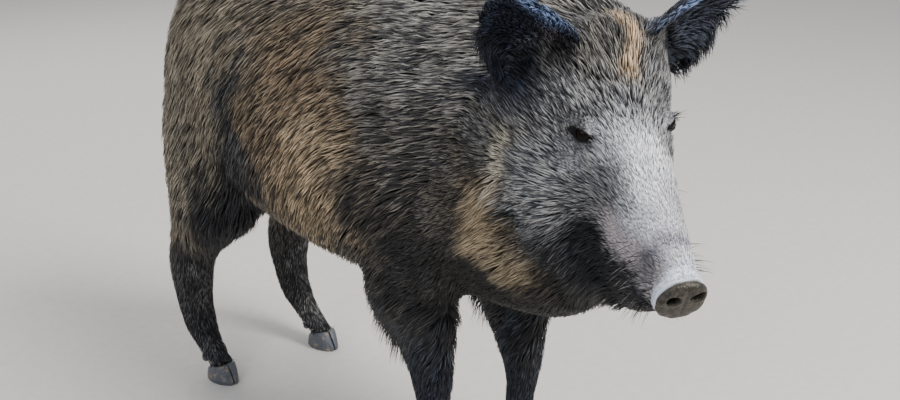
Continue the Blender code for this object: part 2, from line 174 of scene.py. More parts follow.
def numbers(collection, key, width, kind=np.float64):
    """Read one value of every item of a mesh's collection."""
    flat = np.empty(len(collection) * width, kind)
    collection.foreach_get(key, flat)
    return flat.reshape(-1, width) if width > 1 else flat


def move_points(mesh, points):
    """Put a mesh's points at new places."""
    mesh.vertices.foreach_set("co", points.ravel())
    mesh.update()


def nearest(tree, points):
    """Place, normal and face of the surface that lie nearest to each point."""
    found = [tree.find_nearest(Vector(point))[:3] for point in points]
    places, normals, faces = zip(*found)
    return np.array(places), np.array(normals), np.array(faces)


FIELD_KINDS = {1: ("FLOAT", "value"), 3: ("FLOAT_VECTOR", "vector"), 4: ("FLOAT_COLOR", "color")}


def write_field(mesh, name, values):
    """Store one value for each point of a mesh."""
    width = values.shape[1] if values.ndim > 1 else 1
    kind, key = FIELD_KINDS[width]
    field = mesh.attributes.new(name, kind, "POINT")
    field.data.foreach_set(key, np.ascontiguousarray(values, np.float32).ravel())


def read_field(mesh, name, width):
    return numbers(mesh.attributes[name].data, FIELD_KINDS[width][1], width, np.float32).astype(float)


# ---------------------------------------------------------------- looks

class Look:
    """A new material and short words for wiring its nodes."""

    def __init__(self, name):
        self.material = bpy.data.materials.new(name)
        self.material.use_nodes = True
        self.tree = self.material.node_tree
        self.shader = self.tree.nodes["Principled BSDF"]

    def node(self, kind, **settings):
        made = self.tree.nodes.new("ShaderNode" + kind)
        for key, value in settings.items():
            setattr(made, key, value)
        return made

    def put(self, source, target):
        """Wire an output, or set a plain value, on an input."""
        if isinstance(source, bpy.types.NodeSocket):
            self.tree.links.new(source, target)
        else:
            target.default_value = source

    def attribute(self, name):
        return self.node("Attribute", attribute_name=name)

    def stretched(self, vector, scale):
        mapping = self.node("Mapping")
        self.put(vector, mapping.inputs["Vector"])
        self.put(scale, mapping.inputs["Scale"])
        return mapping.outputs["Vector"]

    def place(self, scale=(1, 1, 1)):
        """Object coordinates, stretched."""
        return self.stretched(self.node("TexCoord").outputs["Object"], scale)

    def split(self, vector):
        """The three numbers of a vector."""
        made = self.node("SeparateXYZ")
        self.put(vector, made.inputs[0])
        return made.outputs

    def noise(self, vector, scale, detail=3.0, roughness=0.55):
        made = self.node("TexNoise")
        for key, source in dict(Vector=vector, Scale=scale, Detail=detail, Roughness=roughness).items():
            self.put(source, made.inputs[key])
        return made.outputs["Fac"]

    def math(self, operation, one, two=0.0, three=0.0):
        made = self.node("Math", operation=operation)
        for source, target in zip((one, two, three), made.inputs):
            self.put(source, target)
        return made.outputs[0]

    def span(self, value, low, high, to_low=0.0, to_high=1.0):
        """Bring a value from one span to another, softly."""
        made = self.node("MapRange", interpolation_type="SMOOTHSTEP")
        for source, target in zip((value, low, high, to_low, to_high), made.inputs):
            self.put(source, target)
        return made.outputs["Result"]

    def mix(self, share, one, two, blend="MIX"):
        made = self.node("Mix", data_type="RGBA", blend_type=blend)
        self.put(share, made.inputs["Factor"])
        self.put((*one, 1.0) if isinstance(one, tuple) else one, made.inputs[6])
        self.put((*two, 1.0) if isinstance(two, tuple) else two, made.inputs[7])
        return made.outputs[2]

    def bump(self, height, distance, strength):
        made = self.node("Bump")
        self.put(height, made.inputs["Height"])
        self.put(distance, made.inputs["Distance"])
        self.put(strength, made.inputs["Strength"])
        self.put(made.outputs["Normal"], self.shader.inputs["Normal"])

    def set(self, **values):
        """Wire or set the shader's own inputs."""
        for key, value in values.items():
            self.put(value, self.shader.inputs[key.replace("_", " ")])


def coat_look():
    """Bristles: a dark root, deepened by painted shade near the skin, a tip in the place's own colour, and
    fine streaks along each lock.
    """
    look = Look("bristle_coat")
    strand = look.attribute("strand").outputs["Vector"]
    along, chance, pale = look.split(strand)
    streak = look.noise(look.stretched(strand, (1.5, 60.0, 0.0)), 3.0)
    fine = look.noise(look.place(), 900.0, 2.0)
    reach = look.math("ADD", along, look.math("MULTIPLY_ADD", streak, 0.5, -0.25))
    tipped = look.math("MULTIPLY", look.span(reach, 0.22, 0.80), pale)
    base = look.attribute("base_colour").outputs["Color"]
    tip = look.attribute("tip_colour").outputs["Color"]
    colour = look.mix(tipped, base, tip)
    # painted shade: each lock darkens to 0.42 towards its root, as deep in the coat; the random and fine
    # factors vary the locks' own tone
    shade = look.math("MULTIPLY", look.span(along, 0.0, 0.45, 0.42), look.span(chance, 0, 1, 0.78, 1.22))
    shade = look.math("MULTIPLY", shade, look.span(fine, 0.3, 0.7, 0.82, 1.15))
    tint = look.node("CombineColor")
    for channel in tint.inputs[:3]:
        look.put(shade, channel)
    colour = look.mix(1.0, colour, tint.outputs[0], "MULTIPLY")
    look.set(Base_Color=colour, Roughness=0.52, Specular_IOR_Level=0.35)
    look.bump(streak, 0.0006, 0.4)
    return look.material


def skin_look():
    """Hide under the coat, with the same markings and short flat hair as bump."""
    look = Look("boar_hide")
    base = look.attribute("base_colour").outputs["Color"]
    tip = look.attribute("tip_colour")
    hair = look.noise(look.place(), 700.0)
    share = look.math("MULTIPLY", look.span(hair, 0.42, 0.68), tip.outputs["Alpha"])
    colour = look.mix(look.math("MULTIPLY", share, 0.75), base, tip.outputs["Color"])
    bare = look.attribute("bare").outputs["Fac"]
    mottled = look.noise(look.place(), 160.0, 4.0)
    moist = look.mix(look.span(mottled, 0.3, 0.7), tone(38, 35, 30), tone(71, 66, 57))
    colour = look.mix(bare, colour, moist)
    # painted shade inside the nostrils, and the lids' own dark rims
    colour = look.mix(look.attribute("lid_rims_and_nostril_shade").outputs["Fac"], colour, tone(14, 12, 12))
    look.set(Base_Color=colour, Roughness=look.span(bare, 0, 1, 0.75, 0.40), Specular_IOR_Level=0.3)
    pebble = look.node("TexVoronoi")
    look.put(look.place(), pebble.inputs["Vector"])
    look.put(420.0, pebble.inputs["Scale"])
    pebbled = look.math("MULTIPLY", pebble.outputs["Distance"], bare)
    look.bump(look.math("ADD", look.math("MULTIPLY", hair, 0.6), pebbled), 0.0008, 0.7)
    return look.material


def eye_look():
    """A wet dark brown eye with an oval pupil."""
    look = Look("boar_eye")
    gaze = look.attribute("gaze").outputs["Vector"]
    wide, high, _ = look.split(gaze)
    squares = [look.math("POWER", value, 2.0) for value in (look.math("MULTIPLY", wide, 0.75), high)]
    flat = look.math("POWER", look.math("ADD", *squares), 0.5)
    streaks = look.noise(gaze, 9.0, 4.0)
    iris = look.mix(streaks, (0.003, 0.0015, 0.001), (0.010, 0.005, 0.003))
    colour = look.mix(look.span(flat, 0.26, 0.34), (0.001, 0.001, 0.0015), iris)
    colour = look.mix(look.span(flat, 0.62, 0.74), colour, (0.006, 0.004, 0.0035))
    look.set(Base_Color=colour, Roughness=0.08, Specular_IOR_Level=0.06)
    look.set(Coat_Weight=0.10, Coat_Roughness=0.03)
    return look.material


def hoof_look():
    """Dull bluish-grey horn with growth lines and pale patches of grime."""
    look = Look("boar_horn")
    rings = look.noise(look.place((6, 6, 160)), 3.0, 2.0)
    grime = look.noise(look.place(), 70.0, 5.0, 0.6)
    colour = look.mix(rings, tone(48, 49, 55), tone(98, 102, 111))
    colour = look.mix(look.span(grime, 0.48, 0.66), colour, tone(128, 118, 104))
    look.set(Base_Color=colour, Roughness=look.span(grime, 0.3, 0.7, 0.38, 0.72))
    look.bump(look.math("ADD", rings, look.math("MULTIPLY", grime, 0.5)), 0.0012, 0.6)
    return look.material


# ---------------------------------------------------------------- skin

def flesh_mesh():
    """Copies of the solids of flesh, a little fuller so that they overlap, and the solid of each face."""
    swell = bpy.context.scene.boar_skin.swell
    joined = bmesh.new()
    owners = []
    for index, name in enumerate(FLESH):
        part = bmesh.new()
        part.from_mesh(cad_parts[name].data)
        bmesh.ops.remove_doubles(part, verts=part.verts, dist=WELD)
        part.normal_update()
        shifts = [vert.normal * swell for vert in part.verts]
        for vert, shift in zip(part.verts, shifts):
            vert.co += shift
        mesh = bpy.data.meshes.new("part")
        part.to_mesh(mesh)
        part.free()
        joined.from_mesh(mesh)
        owners += [index] * (len(joined.faces) - len(owners))
        bpy.data.meshes.remove(mesh)
    return joined, owners


# What fills the snout's own nostrils: the middle of the left one and its radius
NOSTRIL_PLUG, PLUG_RADIUS = (0.0155, NOSE_TIP - 0.0115, -0.0741), 0.0112
SOCKET_ROOM = 0.0008  # how far the filling of a socket reaches past the eye


def fill_hollows(joined):
    """Close the eye sockets and nostrils, which are modelled again at a finer grain."""
    for word, side in SIDES.items():
        low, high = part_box("eye_" + word)
        radius = (high - low).x / 2 + SOCKET_ROOM
        place = Matrix.Translation(EYES[side])
        bmesh.ops.create_uvsphere(joined, u_segments=20, v_segments=12, radius=radius, matrix=place)
    for side in (-1, 1):
        place = Matrix.Translation(in_head(side * NOSTRIL_PLUG[0], *NOSTRIL_PLUG[1:]))
        bmesh.ops.create_uvsphere(joined, u_segments=16, v_segments=10, radius=PLUG_RADIUS, matrix=place)


def neighbours_mean(values, edges, count):
    """The mean of each point's neighbours."""
    total = np.zeros_like(values)
    one, two = edges[:, 0], edges[:, 1]
    for a, b in ((one, two), (two, one)):
        if values.ndim == 1:
            total += np.bincount(a, values[b], len(values))
        else:
            for k in range(values.shape[1]):
                total[:, k] += np.bincount(a, values[b, k], len(values))
    return total / (count if values.ndim == 1 else count[:, None])


class Surface:
    """Points, normals and edges of a mesh as arrays, with what is worked out on them."""

    def __init__(self, mesh):
        self.points = numbers(mesh.vertices, "co", 3)
        self.normals = numbers(mesh.vertices, "normal", 3)
        self.edges = numbers(mesh.edges, "vertices", 2, np.int32)
        links = np.bincount(self.edges.ravel(), minlength=len(self.points))
        self.count = np.maximum(links, 1).astype(float)

    def soften(self, values, rounds, where=1.0, step=0.5):
        """Smooth values over the surface."""
        share = where[:, None] if np.ndim(where) and values.ndim > 1 else where
        for _ in range(rounds):
            values = lerp(values, neighbours_mean(values, self.edges, self.count), step * share)
        return values

    def relaxed(self, rounds, where=1.0):
        """Smooth the points, pushing out again after each round so that nothing shrinks."""
        points = self.points
        for _ in range(rounds):
            points = self.soften(self.soften(points, 1, where), 1, where, -0.52)
        return points


def owners_of(surface, solids, owners):
    """Which solid of flesh each point is of: the nearest."""
    return np.array(owners)[nearest(solids, surface.points)[2]]


def is_of(owners, *starts):
    """Which points are of the solids of flesh whose names start so."""
    return np.isin(owners, [k for k, name in enumerate(FLESH) if name.startswith(starts)])


def refine(bm, chosen, rounds):
    """Split the faces that a test picks into four, a number of times."""
    for _ in range(rounds):
        faces = [face for face in bm.faces if chosen(face.calc_center_median())]
        edges = list({edge for face in faces for edge in face.edges})
        bmesh.ops.subdivide_edges(bm, edges=edges, cuts=1, use_grid_fill=True)


def near_detail(place):
    """Whether a place is on the eyes, the snout or the lips, which need a finer grain."""
    _, forward, up = to_head(np.array(place))
    on_lips = 0.045 < forward and abs(up - lip_height(forward)) < 0.013 and up > -0.2
    return forward > 0.180 or on_lips or near_eyes(place, 0.034)


def near_opening(place):
    """Whether a place is on the lids or the disc, which need the finest grain."""
    return to_head(np.array(place))[1] > NOSE_TIP - 0.012 or near_eyes(place, 0.022)


def near_eyes(place, reach):
    return any((place - centre).length < reach for centre in EYES.values())


def lip_height(forward):
    """Height of the line between the lips, which rises a little to its corner."""
    return -0.1045 + 0.006 * smoothstep(0.12, MOUTH_BACK, forward) - 0.004 * smoothstep(0.12, 0.2, forward)


def eye_axes(side):
    """The way an eye looks, and the forward and upward directions across it."""
    out = unit(head_direction(side * EYE_AXIS[0], *EYE_AXIS[1:]))
    up = head_direction(0, 0.10, 1)
    ahead = unit(np.cross(up, out))
    ahead *= np.sign(ahead @ head_direction(0, 1, 0))
    up = unit(up - out * (up @ out))
    along, over = math.cos(EYE_TILT), math.sin(EYE_TILT)
    return out, ahead * along - up * over, up * along + ahead * over


LID_WIDTH, LID_HEIGHT_UP, LID_HEIGHT_DOWN = 1.05, 0.54, 0.40  # half angles of the opening, radians
LID_THICKNESS = 0.0018


def round_the_eye(points, side, centre):
    """How far out of the lids' opening each place is, 1 at its edge; distance, direction and rise."""
    out, ahead, up = eye_axes(side)
    reach = points - np.array(centre)
    way = unit(reach)
    across = np.arctan2(way @ ahead, np.maximum(way @ out, 1e-6))
    rise = np.arcsin(np.clip(way @ up, -1, 1))
    height = np.where(rise > 0, LID_HEIGHT_UP, LID_HEIGHT_DOWN)
    height = height * (1 - 0.25 * np.clip(across / LID_WIDTH, 0, 1) ** 2)
    edge = np.sqrt(np.abs(across / LID_WIDTH) ** 1.8 + (rise / height) ** 2)
    return edge, np.linalg.norm(reach, axis=1), way, rise


def sculpt_lids(points):
    """Draw the skin over each eyeball as lids around an almond opening."""
    for side, centre in EYES.items():
        edge, distance, way, rise = round_the_eye(points, side, centre)
        facing = way @ eye_axes(side)[0]
        # the lid over the eye, let in behind the eye's face inside the opening, then its roll and crease
        lid = EYE_RADIUS + LID_THICKNESS * smoothstep(0.94, 1.12, edge)
        lid -= 0.0028 * smoothstep(1.0, 0.84, edge)
        lid = lid + LID_THICKNESS * 0.4 * ridge(edge, 1.25, 0.2) - 0.0011 * ridge(edge, 1.75, 0.16)
        brow = 0.0022 * ridge(rise, 1.05, 0.3) * smoothstep(0.2, 0.6, facing)
        share = smoothstep(2.9, 1.5, edge) * smoothstep(-0.15, 0.25, facing)
        moved = lerp(distance, lid + brow, share * smoothstep(0.036, 0.022, distance))
        points = np.array(centre) + way * moved[:, None]
    return points


def disc_radius(side, high):
    """Distance from the middle of the snout's disc, 1 at its edge."""
    return np.sqrt((side / DISC_HALF_WIDTH) ** 2 + (high / DISC_HALF_HEIGHT) ** 2)


NOSTRIL_OUT, NOSTRIL_UP = 0.0160, 0.0100  # a nostril's middle, from the disc's
NOSTRIL_LONG, NOSTRIL_SHORT = 0.0094, 0.0070  # its half axes
NOSTRIL_LEAN = (0.93, 0.36)  # about the cosine and sine of its lean


def nostril(side, high, way):
    """Distance from a nostril's middle, 1 at its edge: an oval that leans outwards."""
    side, high = side - way * NOSTRIL_OUT, high - NOSTRIL_UP
    level, lean = NOSTRIL_LEAN
    slant, climb = side * level + way * high * lean, high * level - way * side * lean
    return np.sqrt((slant / NOSTRIL_LONG) ** 2 + (climb / NOSTRIL_SHORT) ** 2)


# The folds of the snout: how far behind the disc's face each is, and how deep
FOLDS = ((0.0155, 0.0022), (0.0225, 0.0012), (0.0300, 0.0011), (0.0385, 0.0008))


def sculpt_snout(points, normals):
    """The disc's rim and face, the nostrils, and the folds behind the disc."""
    side, forward, up = to_head(points).T
    high = up - DISC_MIDDLE
    radius = disc_radius(side, high)
    on_disc = smoothstep(NOSE_TIP - 0.010, NOSE_TIP - 0.004, forward)
    # the raised rim and the dished face, then the nostrils in their rolls, then the groove between them
    push = 0.0016 * ridge(radius, 0.88, 0.10) * on_disc - 0.0012 * smoothstep(0.75, 0.35, radius) * on_disc
    for way in (-1, 1):
        hole = nostril(side, high, way)
        push -= 0.0140 * smoothstep(1.12, 0.62, hole) * on_disc
        push += 0.0010 * ridge(hole, 1.35, 0.22) * on_disc
    push -= 0.0005 * ridge(side, 0, 0.0022) * on_disc * smoothstep(0.9, 0.5, radius)
    points = points + head_direction(0, 1, 0) * push[:, None]
    # the folds curve forward towards the sides, and a roll stands just behind the disc
    folds = np.zeros(len(points))
    bend = 0.35 * np.abs(side) * smoothstep(0.03, 0.0, np.abs(side))
    for back, depth in FOLDS:
        folds -= depth * ridge(forward - bend, NOSE_TIP - back, 0.0020) * smoothstep(-0.12, -0.07, up)
    folds += 0.0012 * ridge(forward, NOSE_TIP - 0.0085, 0.0035)
    return points + normals * folds[:, None]


def sculpt_lips(points, normals):
    """The line between the lips, and the upper lip over it."""
    _, forward, up = to_head(points).T
    along = smoothstep(MOUTH_BACK - 0.012, MOUTH_BACK + 0.012, forward) * smoothstep(0.222, 0.205, forward)
    line = up - lip_height(forward)
    lips = 0.0016 * ridge(line, 0.0055, 0.0035) + 0.0008 * ridge(line, -0.005, 0.003)
    return points + normals * ((lips - 0.0042 * ridge(line, 0, 0.0017)) * along)[:, None]


# Coat of each kind of place: depth of the coat over the skin, length, width and spacing of its
# locks, their lift off the skin in degrees and how far they hang free of it, then its colours:
# root, tip and the share of pale locks
# the blue cast of the dark colours, here and in the patches, is a painted reflection of the sky on black
# hair, strongest on the ears and lower forelegs
COATS = {
    "trunk": (0.020, 0.050, 0.0031, 0.0048, 12, 0.10, tone(58, 54, 50), tone(150, 138, 120), 0.60),
    "neck": (0.024, 0.056, 0.0031, 0.0048, 14, 0.15, tone(56, 54, 54), tone(168, 162, 152), 0.64),
    "head": (0.006, 0.022, 0.0019, 0.0030, 9, 0.00, tone(74, 74, 78), tone(168, 167, 165), 0.60),
    "snout": (0.0012, 0.005, 0.0010, 0.0026, 6, 0.00, tone(150, 148, 154), tone(200, 200, 208), 0.8),
    "lower_jaw": (0.006, 0.020, 0.0020, 0.0031, 9, 0.10, tone(36, 37, 42), tone(84, 83, 86), 0.35),
    "ear": (0.0040, 0.020, 0.0015, 0.0027, 12, 0.40, tone(27, 30, 40), tone(70, 82, 108), 0.30),
    "tail": (0.006, 0.050, 0.0028, 0.0038, 10, 0.50, tone(40, 38, 38), tone(100, 90, 80), 0.4),
    "leg": (0.010, 0.034, 0.0026, 0.0042, 9, 0.05, tone(44, 42, 42), tone(112, 104, 94), 0.45),
}
SIZES = ("depth", "length", "width", "spacing", "lift", "free")
COLOURS = ("root", "tip", "pale")
BODY_STRAY, HEAD_STRAY = 0.034, 0.010  # how far the patches' edges wander
MOTTLE = 4.5  # how much more the share of pale locks wanders, for each metre of their length
RIPPLE_WAVES = 7


def kind_of(name):
    """The kind of place that a solid of flesh is."""
    return name.split("_")[0] if name.startswith(("ear", "leg")) else name


def shades(root, tip, pale, **coat):
    """What a patch changes: its colours, and sizes of its coat."""
    return dict(root=tone(*root), tip=tone(*tip), pale=pale, **coat)


# Patches that differ: frame, middle, radii, then what changes there. In the body's frame the
# middle is the distance from the midline, along Y and up; in the head's frame it is the distance
# from the midline, forward and up. A patch of the head's "left" frame is on one side only: on the
# left, or on the right where the first number is negative.
MANE = dict(depth=0.040, length=0.088, width=0.0034, lift=34, free=0.70)
SHORT = dict(width=0.0017, spacing=0.0031, lift=5)
PATCHES = (
    ("body", (0.00, -0.14, 0.84), (0.060, 0.32, 0.12), MANE),
    ("body", (0.00, 0.22, 0.80), (0.055, 0.20, 0.10), dict(depth=0.028, length=0.062, lift=18)),
    ("body", (0.00, -0.36, 0.83), (0.060, 0.10, 0.12), dict(depth=0.030, length=0.060, lift=26)),
    ("body", (0.10, 0.15, 0.33), (0.16, 0.32, 0.09), dict(length=0.055, free=0.30, lift=16)),
    ("body", (0.10, 0.50, 0.50), (0.14, 0.14, 0.22), dict(depth=0.018, length=0.052)),
    # silver-grey neck and upper shoulder, darker below
    ("body", (0.13, -0.20, 0.74), (0.13, 0.18, 0.11), shades((62, 61, 64), (172, 168, 160), 0.70)),
    ("body", (0.16, -0.13, 0.60), (0.11, 0.14, 0.13), shades((54, 52, 53), (142, 137, 130), 0.58)),
    ("body", (0.15, -0.10, 0.46), (0.12, 0.13, 0.11), shades((38, 36, 36), (104, 96, 86), 0.46)),
    ("body", (0.15, -0.31, 0.52), (0.10, 0.10, 0.13), shades((46, 43, 40), (118, 109, 97), 0.48)),
    # brown flank, ochre in its middle
    ("body", (0.15, -0.02, 0.56), (0.12, 0.09, 0.17), shades((56, 51, 45), (142, 127, 108), 0.57)),
    ("body", (0.15, 0.11, 0.62), (0.12, 0.15, 0.18), shades((64, 55, 46), (158, 138, 114), 0.62)),
    ("body", (0.15, 0.035, 0.53), (0.11, 0.085, 0.10), shades((86, 74, 61), (212, 188, 154), 0.86)),
    ("body", (0.14, 0.080, 0.68), (0.11, 0.080, 0.06), shades((64, 55, 46), (172, 149, 122), 0.64)),
    ("body", (0.15, 0.05, 0.41), (0.12, 0.12, 0.08), shades((66, 57, 47), (168, 150, 122), 0.70)),
    # grey-brown rump
    ("body", (0.12, 0.38, 0.66), (0.15, 0.18, 0.18), shades((68, 64, 57), (172, 160, 138), 0.70)),
    ("body", (0.13, 0.47, 0.46), (0.14, 0.13, 0.25), shades((68, 64, 58), (168, 158, 140), 0.70)),
    # dark thigh, darkest low down, with a dark line up the fold of the flank
    ("body", (0.14, 0.250, 0.55), (0.07, 0.045, 0.17), shades((38, 39, 43), (104, 103, 102), 0.45)),
    ("body", (0.13, 0.300, 0.38), (0.12, 0.085, 0.15), shades((26, 26, 30), (66, 65, 68), 0.30)),
    ("body", (0.12, 0.33, 0.28), (0.12, 0.10, 0.10), shades((26, 26, 31), (62, 62, 66), 0.30)),
    # dark chest and elbow
    ("body", (0.09, -0.16, 0.38), (0.13, 0.17, 0.10), shades((32, 32, 34), (80, 76, 72), 0.34)),
    # the elbow's fringe
    ("body", (0.10, -0.060, 0.285), (0.08, 0.055, 0.085),
     dict(length=0.070, free=0.65, lift=10, depth=0.014, width=0.0022,
          spacing=0.0036)),
    # lower legs: short dark hair that lies flat
    # painted reflection: the blue cast of the forelegs' dark hair
    ("body", (0.10, -0.17, 0.16), (0.10, 0.14, 0.17), shades((29, 34, 43), (72, 82, 96), 0.38)),
    ("body", (0.12, 0.42, 0.12), (0.12, 0.16, 0.17), shades((36, 36, 40), (116, 115, 116), 0.44)),
    ("body", (0.14, 0.385, 0.15), (0.05, 0.045, 0.075), shades((58, 58, 59), (178, 176, 173), 0.46)),
    ("body", (0.10, -0.17, 0.08), (0.10, 0.12, 0.15), dict(SHORT, depth=0.0035, length=0.015)),
    ("body", (0.12, 0.43, 0.08), (0.10, 0.14, 0.16), dict(SHORT, depth=0.0038, length=0.017)),
    # ruff behind the cheek, cream at its front edge
    ("head", (0.150, -0.024, -0.168), (0.042, 0.042, 0.070),
     shades((98, 86, 70), (196, 176, 144), 0.84, depth=0.022, length=0.046, lift=18)),
    ("head", (0.116, 0.040, -0.212), (0.052, 0.060, 0.036),
     shades((94, 84, 70), (190, 172, 142), 0.84, depth=0.020, length=0.044, lift=18)),
    ("head", (0.150, -0.036, -0.100), (0.014, 0.020, 0.080), shades((130, 122, 106), (222, 214, 196), 0.92)),
    # throat and the dark chest under the ruff, its black hair deepened by painted shade under the head
    ("head", (0.020, 0.020, -0.235), (0.060, 0.100, 0.030),
     shades((44, 41, 38), (116, 107, 94), 0.5, length=0.036, depth=0.014)),
    ("head", (0.046, 0.086, -0.218), (0.050, 0.050, 0.044),
     shades((24, 25, 29), (60, 59, 60), 0.25, length=0.028)),
    ("head", (0.020, 0.112, -0.188), (0.050, 0.036, 0.040), dict(length=0.042, free=0.75, lift=36)),
    # the hair that falls over the front and the hind hooves
    ("body", (0.09, -0.19, 0.045), (0.09, 0.09, 0.022), dict(free=0.70, length=0.020, lift=4)),
    ("body", (0.12, 0.39, 0.045), (0.09, 0.09, 0.022), dict(free=0.70, length=0.020, lift=4)),
    # near-black under the jaw and on the chest in front of the forelegs: dark hair deepened by painted shade
    # under the head
    ("head", (0.110, 0.005, -0.290), (0.110, 0.100, 0.066), shades((20, 20, 22), (54, 51, 48), 0.28)),
    ("body", (0.06, -0.33, 0.35), (0.13, 0.13, 0.095), shades((20, 20, 22), (54, 51, 48), 0.28)),
    # dark fur at the root of the ear
    ("head", (0.122, -0.080, 0.008), (0.036, 0.040, 0.052),
     shades((24, 27, 35), (62, 70, 88), 0.30, length=0.036)),
    ("head", (0.102, -0.090, 0.042), (0.030, 0.028, 0.034),
     shades((18, 20, 26), (46, 52, 66), 0.25, length=0.030)),
    ("head", (0.136, -0.112, -0.002), (0.026, 0.034, 0.052), shades((26, 28, 36), (66, 72, 88), 0.30)),
    # cheek: grey above, darker below, in longer locks
    ("head", (0.105, 0.010, -0.080), (0.036, 0.055, 0.056),
     shades((80, 82, 87), (202, 200, 197), 0.70, length=0.032, depth=0.009)),
    ("head", (0.108, 0.022, -0.130), (0.036, 0.062, 0.022), shades((34, 39, 44), (136, 141, 145), 0.46)),
    ("head", (0.085, 0.055, -0.150), (0.035, 0.055, 0.050),
     shades((22, 24, 30), (112, 113, 117), 0.30, length=0.038, depth=0.009)),
    # black lower cheek and chin
    ("head", (0.040, 0.135, -0.145), (0.046, 0.075, 0.044), shades((24, 26, 31), (50, 53, 58), 0.22)),
    ("head", (0.056, 0.088, -0.118), (0.024, 0.032, 0.036), shades((24, 26, 31), (54, 57, 62), 0.24)),
    # forehead, with one tan patch, and the pale bridge of the nose
    ("head", (0.020, -0.065, 0.085), (0.070, 0.050, 0.050),
     shades((58, 56, 54), (138, 134, 126), 0.52, length=0.032, depth=0.010)),
    ("left", (0.018, -0.060, 0.078), (0.013, 0.036, 0.036), shades((138, 112, 84), (234, 204, 170), 0.92)),
    # the dark foot of the right ear
    ("left", (-0.066, -0.072, 0.070), (0.032, 0.026, 0.021), shades((22, 22, 25), (60, 58, 61), 0.30)),
    # the pale bridge of the nose: pale short hair, whitened further by a painted highlight along its top
    ("head", (0.000, 0.080, 0.005), (0.050, 0.085, 0.050),
     shades((214, 215, 220), (253, 253, 255), 0.97, length=0.013, depth=0.0035, width=0.0016,
            spacing=0.0026)),
    ("head", (0.000, 0.155, -0.020), (0.044, 0.060, 0.050),
     shades((192, 190, 196), (244, 244, 250), 0.92, length=0.009, depth=0.0022, width=0.0013,
            spacing=0.0025)),
    # around the eye
    ("head", (0.070, 0.012, -0.034), (0.022, 0.030, 0.018),
     shades((100, 100, 106), (184, 184, 188), 0.72, length=0.010, depth=0.0024, width=0.0013,
            spacing=0.0024)),
    ("head", (0.046, 0.018, 0.015), (0.009, 0.034, 0.012), shades((128, 128, 132), (206, 206, 210), 0.86)),
    ("head", (0.050, 0.036, -0.007), (0.006, 0.022, 0.007), shades((44, 45, 50), (100, 101, 106), 0.40)),
    ("head", (0.064, 0.006, 0.003), (0.030, 0.032, 0.024),
     dict(length=0.0065, depth=0.0018, width=0.0011, spacing=0.0021, lift=4)),
    ("head", (0.064, 0.004, -0.003), (0.018, 0.022, 0.008), shades((26, 26, 29), (64, 64, 68), 0.25)),
    # pinkish-grey side of the muzzle
    ("head", (0.045, 0.140, -0.062), (0.028, 0.060, 0.032),
     shades((170, 161, 163), (216, 207, 210), 0.88, length=0.010, depth=0.0025, width=0.0013,
            spacing=0.0025)),
    # painted shade in a crease and on a band of the bridge's front before the pale rim behind the disc
    ("head", (0.033, 0.167, -0.060), (0.017, 0.014, 0.048), shades((82, 81, 88), (138, 137, 145), 0.70)),
    ("head", (0.006, 0.166, -0.028), (0.036, 0.012, 0.026), shades((138, 136, 145), (192, 190, 200), 0.85)),
    # the pale rim behind the disc: pale short hair, its bluish white partly a painted highlight
    ("head", (0.024, 0.207, -0.056), (0.036, 0.017, 0.046),
     shades((208, 212, 226), (242, 246, 254), 0.94, length=0.005, width=0.0012)),
)


def ripple(points, size, seed):
    """Soft unevenness of about a given size, from -1 to 1."""
    rng = np.random.default_rng(seed)
    total = np.zeros(len(points))
    for _ in range(RIPPLE_WAVES):
        way = unit(rng.normal(size=3)) * 2 * math.pi / (size * rng.uniform(0.7, 1.6))
        total += np.sin(points @ way + rng.uniform(0, 2 * math.pi))
    return np.clip(total / math.sqrt(RIPPLE_WAVES), -1, 1)


# Where a patch's change begins and where it is whole, in its radii
COLOUR_EDGE, SIZE_EDGE = (1.45, 0.45), (1.25, 0.70)


def patch_share(place, middle, radii, colouring):
    """How much each point lies in a patch, from 0 to 1; colours fade in over a wider edge."""
    far = np.linalg.norm((place - middle) / radii, axis=1)
    return smoothstep(*(COLOUR_EDGE if colouring else SIZE_EDGE), far)


def bring(fields, key, value, share):
    """Bring one field of the coat towards a value, by a share for each point."""
    share = share if fields[key].ndim == 1 else share[:, None]
    fields[key] = lerp(fields[key], np.array(value, float), share)


def coat_fields(surface, owners):
    """Work out the coat of every point: its depth, its locks and its colours."""
    points = surface.points
    kinds = [kind_of(name) for name in FLESH]
    fields = {key: surface.soften(np.array([COATS[kind][k] for kind in kinds], float)[owners], 14)
              for k, key in enumerate((*SIZES, *COLOURS))}
    across, *along = points.T
    body = np.column_stack((np.abs(across - midline(along[0])), *along))
    left = to_head(points)
    places = {"body": body, "head": np.column_stack((np.abs(left[:, 0]), left[:, 1:])), "left": left}
    strays = [ripple(points, 0.09, k) + 0.5 * ripple(points, 0.035, 9 + k) for k in range(3)]
    strays = np.column_stack(strays)
    off_ears = 1 - surface.soften(is_of(owners, "ear").astype(float), 3)
    for which, middle, radii, changes in PATCHES:
        stray = strays * (BODY_STRAY if which == "body" else HEAD_STRAY)
        for key, value in changes.items():
            colouring = key in COLOURS
            share = patch_share(places[which] + stray * colouring, middle, radii, colouring)
            bring(fields, key, value, share * off_ears)
    for name, way in EAR_SIDES.items():
        dress_ear(surface, is_of(owners, name), way, fields)
    mottle = 0.16 * ripple(points, 0.045, 31) + MOTTLE * fields["length"] * ripple(points, 0.022, 37)
    fields["pale"] = np.clip(fields["pale"] + mottle * (fields["pale"] < 0.78), 0, 1)
    fields["tip"] = fields["tip"] * (1 + 0.14 * ripple(points, 0.07, 41))[:, None]
    return fields


def midline(along):
    """Distance sideways of the back's middle: the neck bends to the right."""
    return -0.026 * smoothstep(-0.25, -0.46, along)


EAR_SIDES = {"ear_" + word: side for word, side in SIDES.items()}
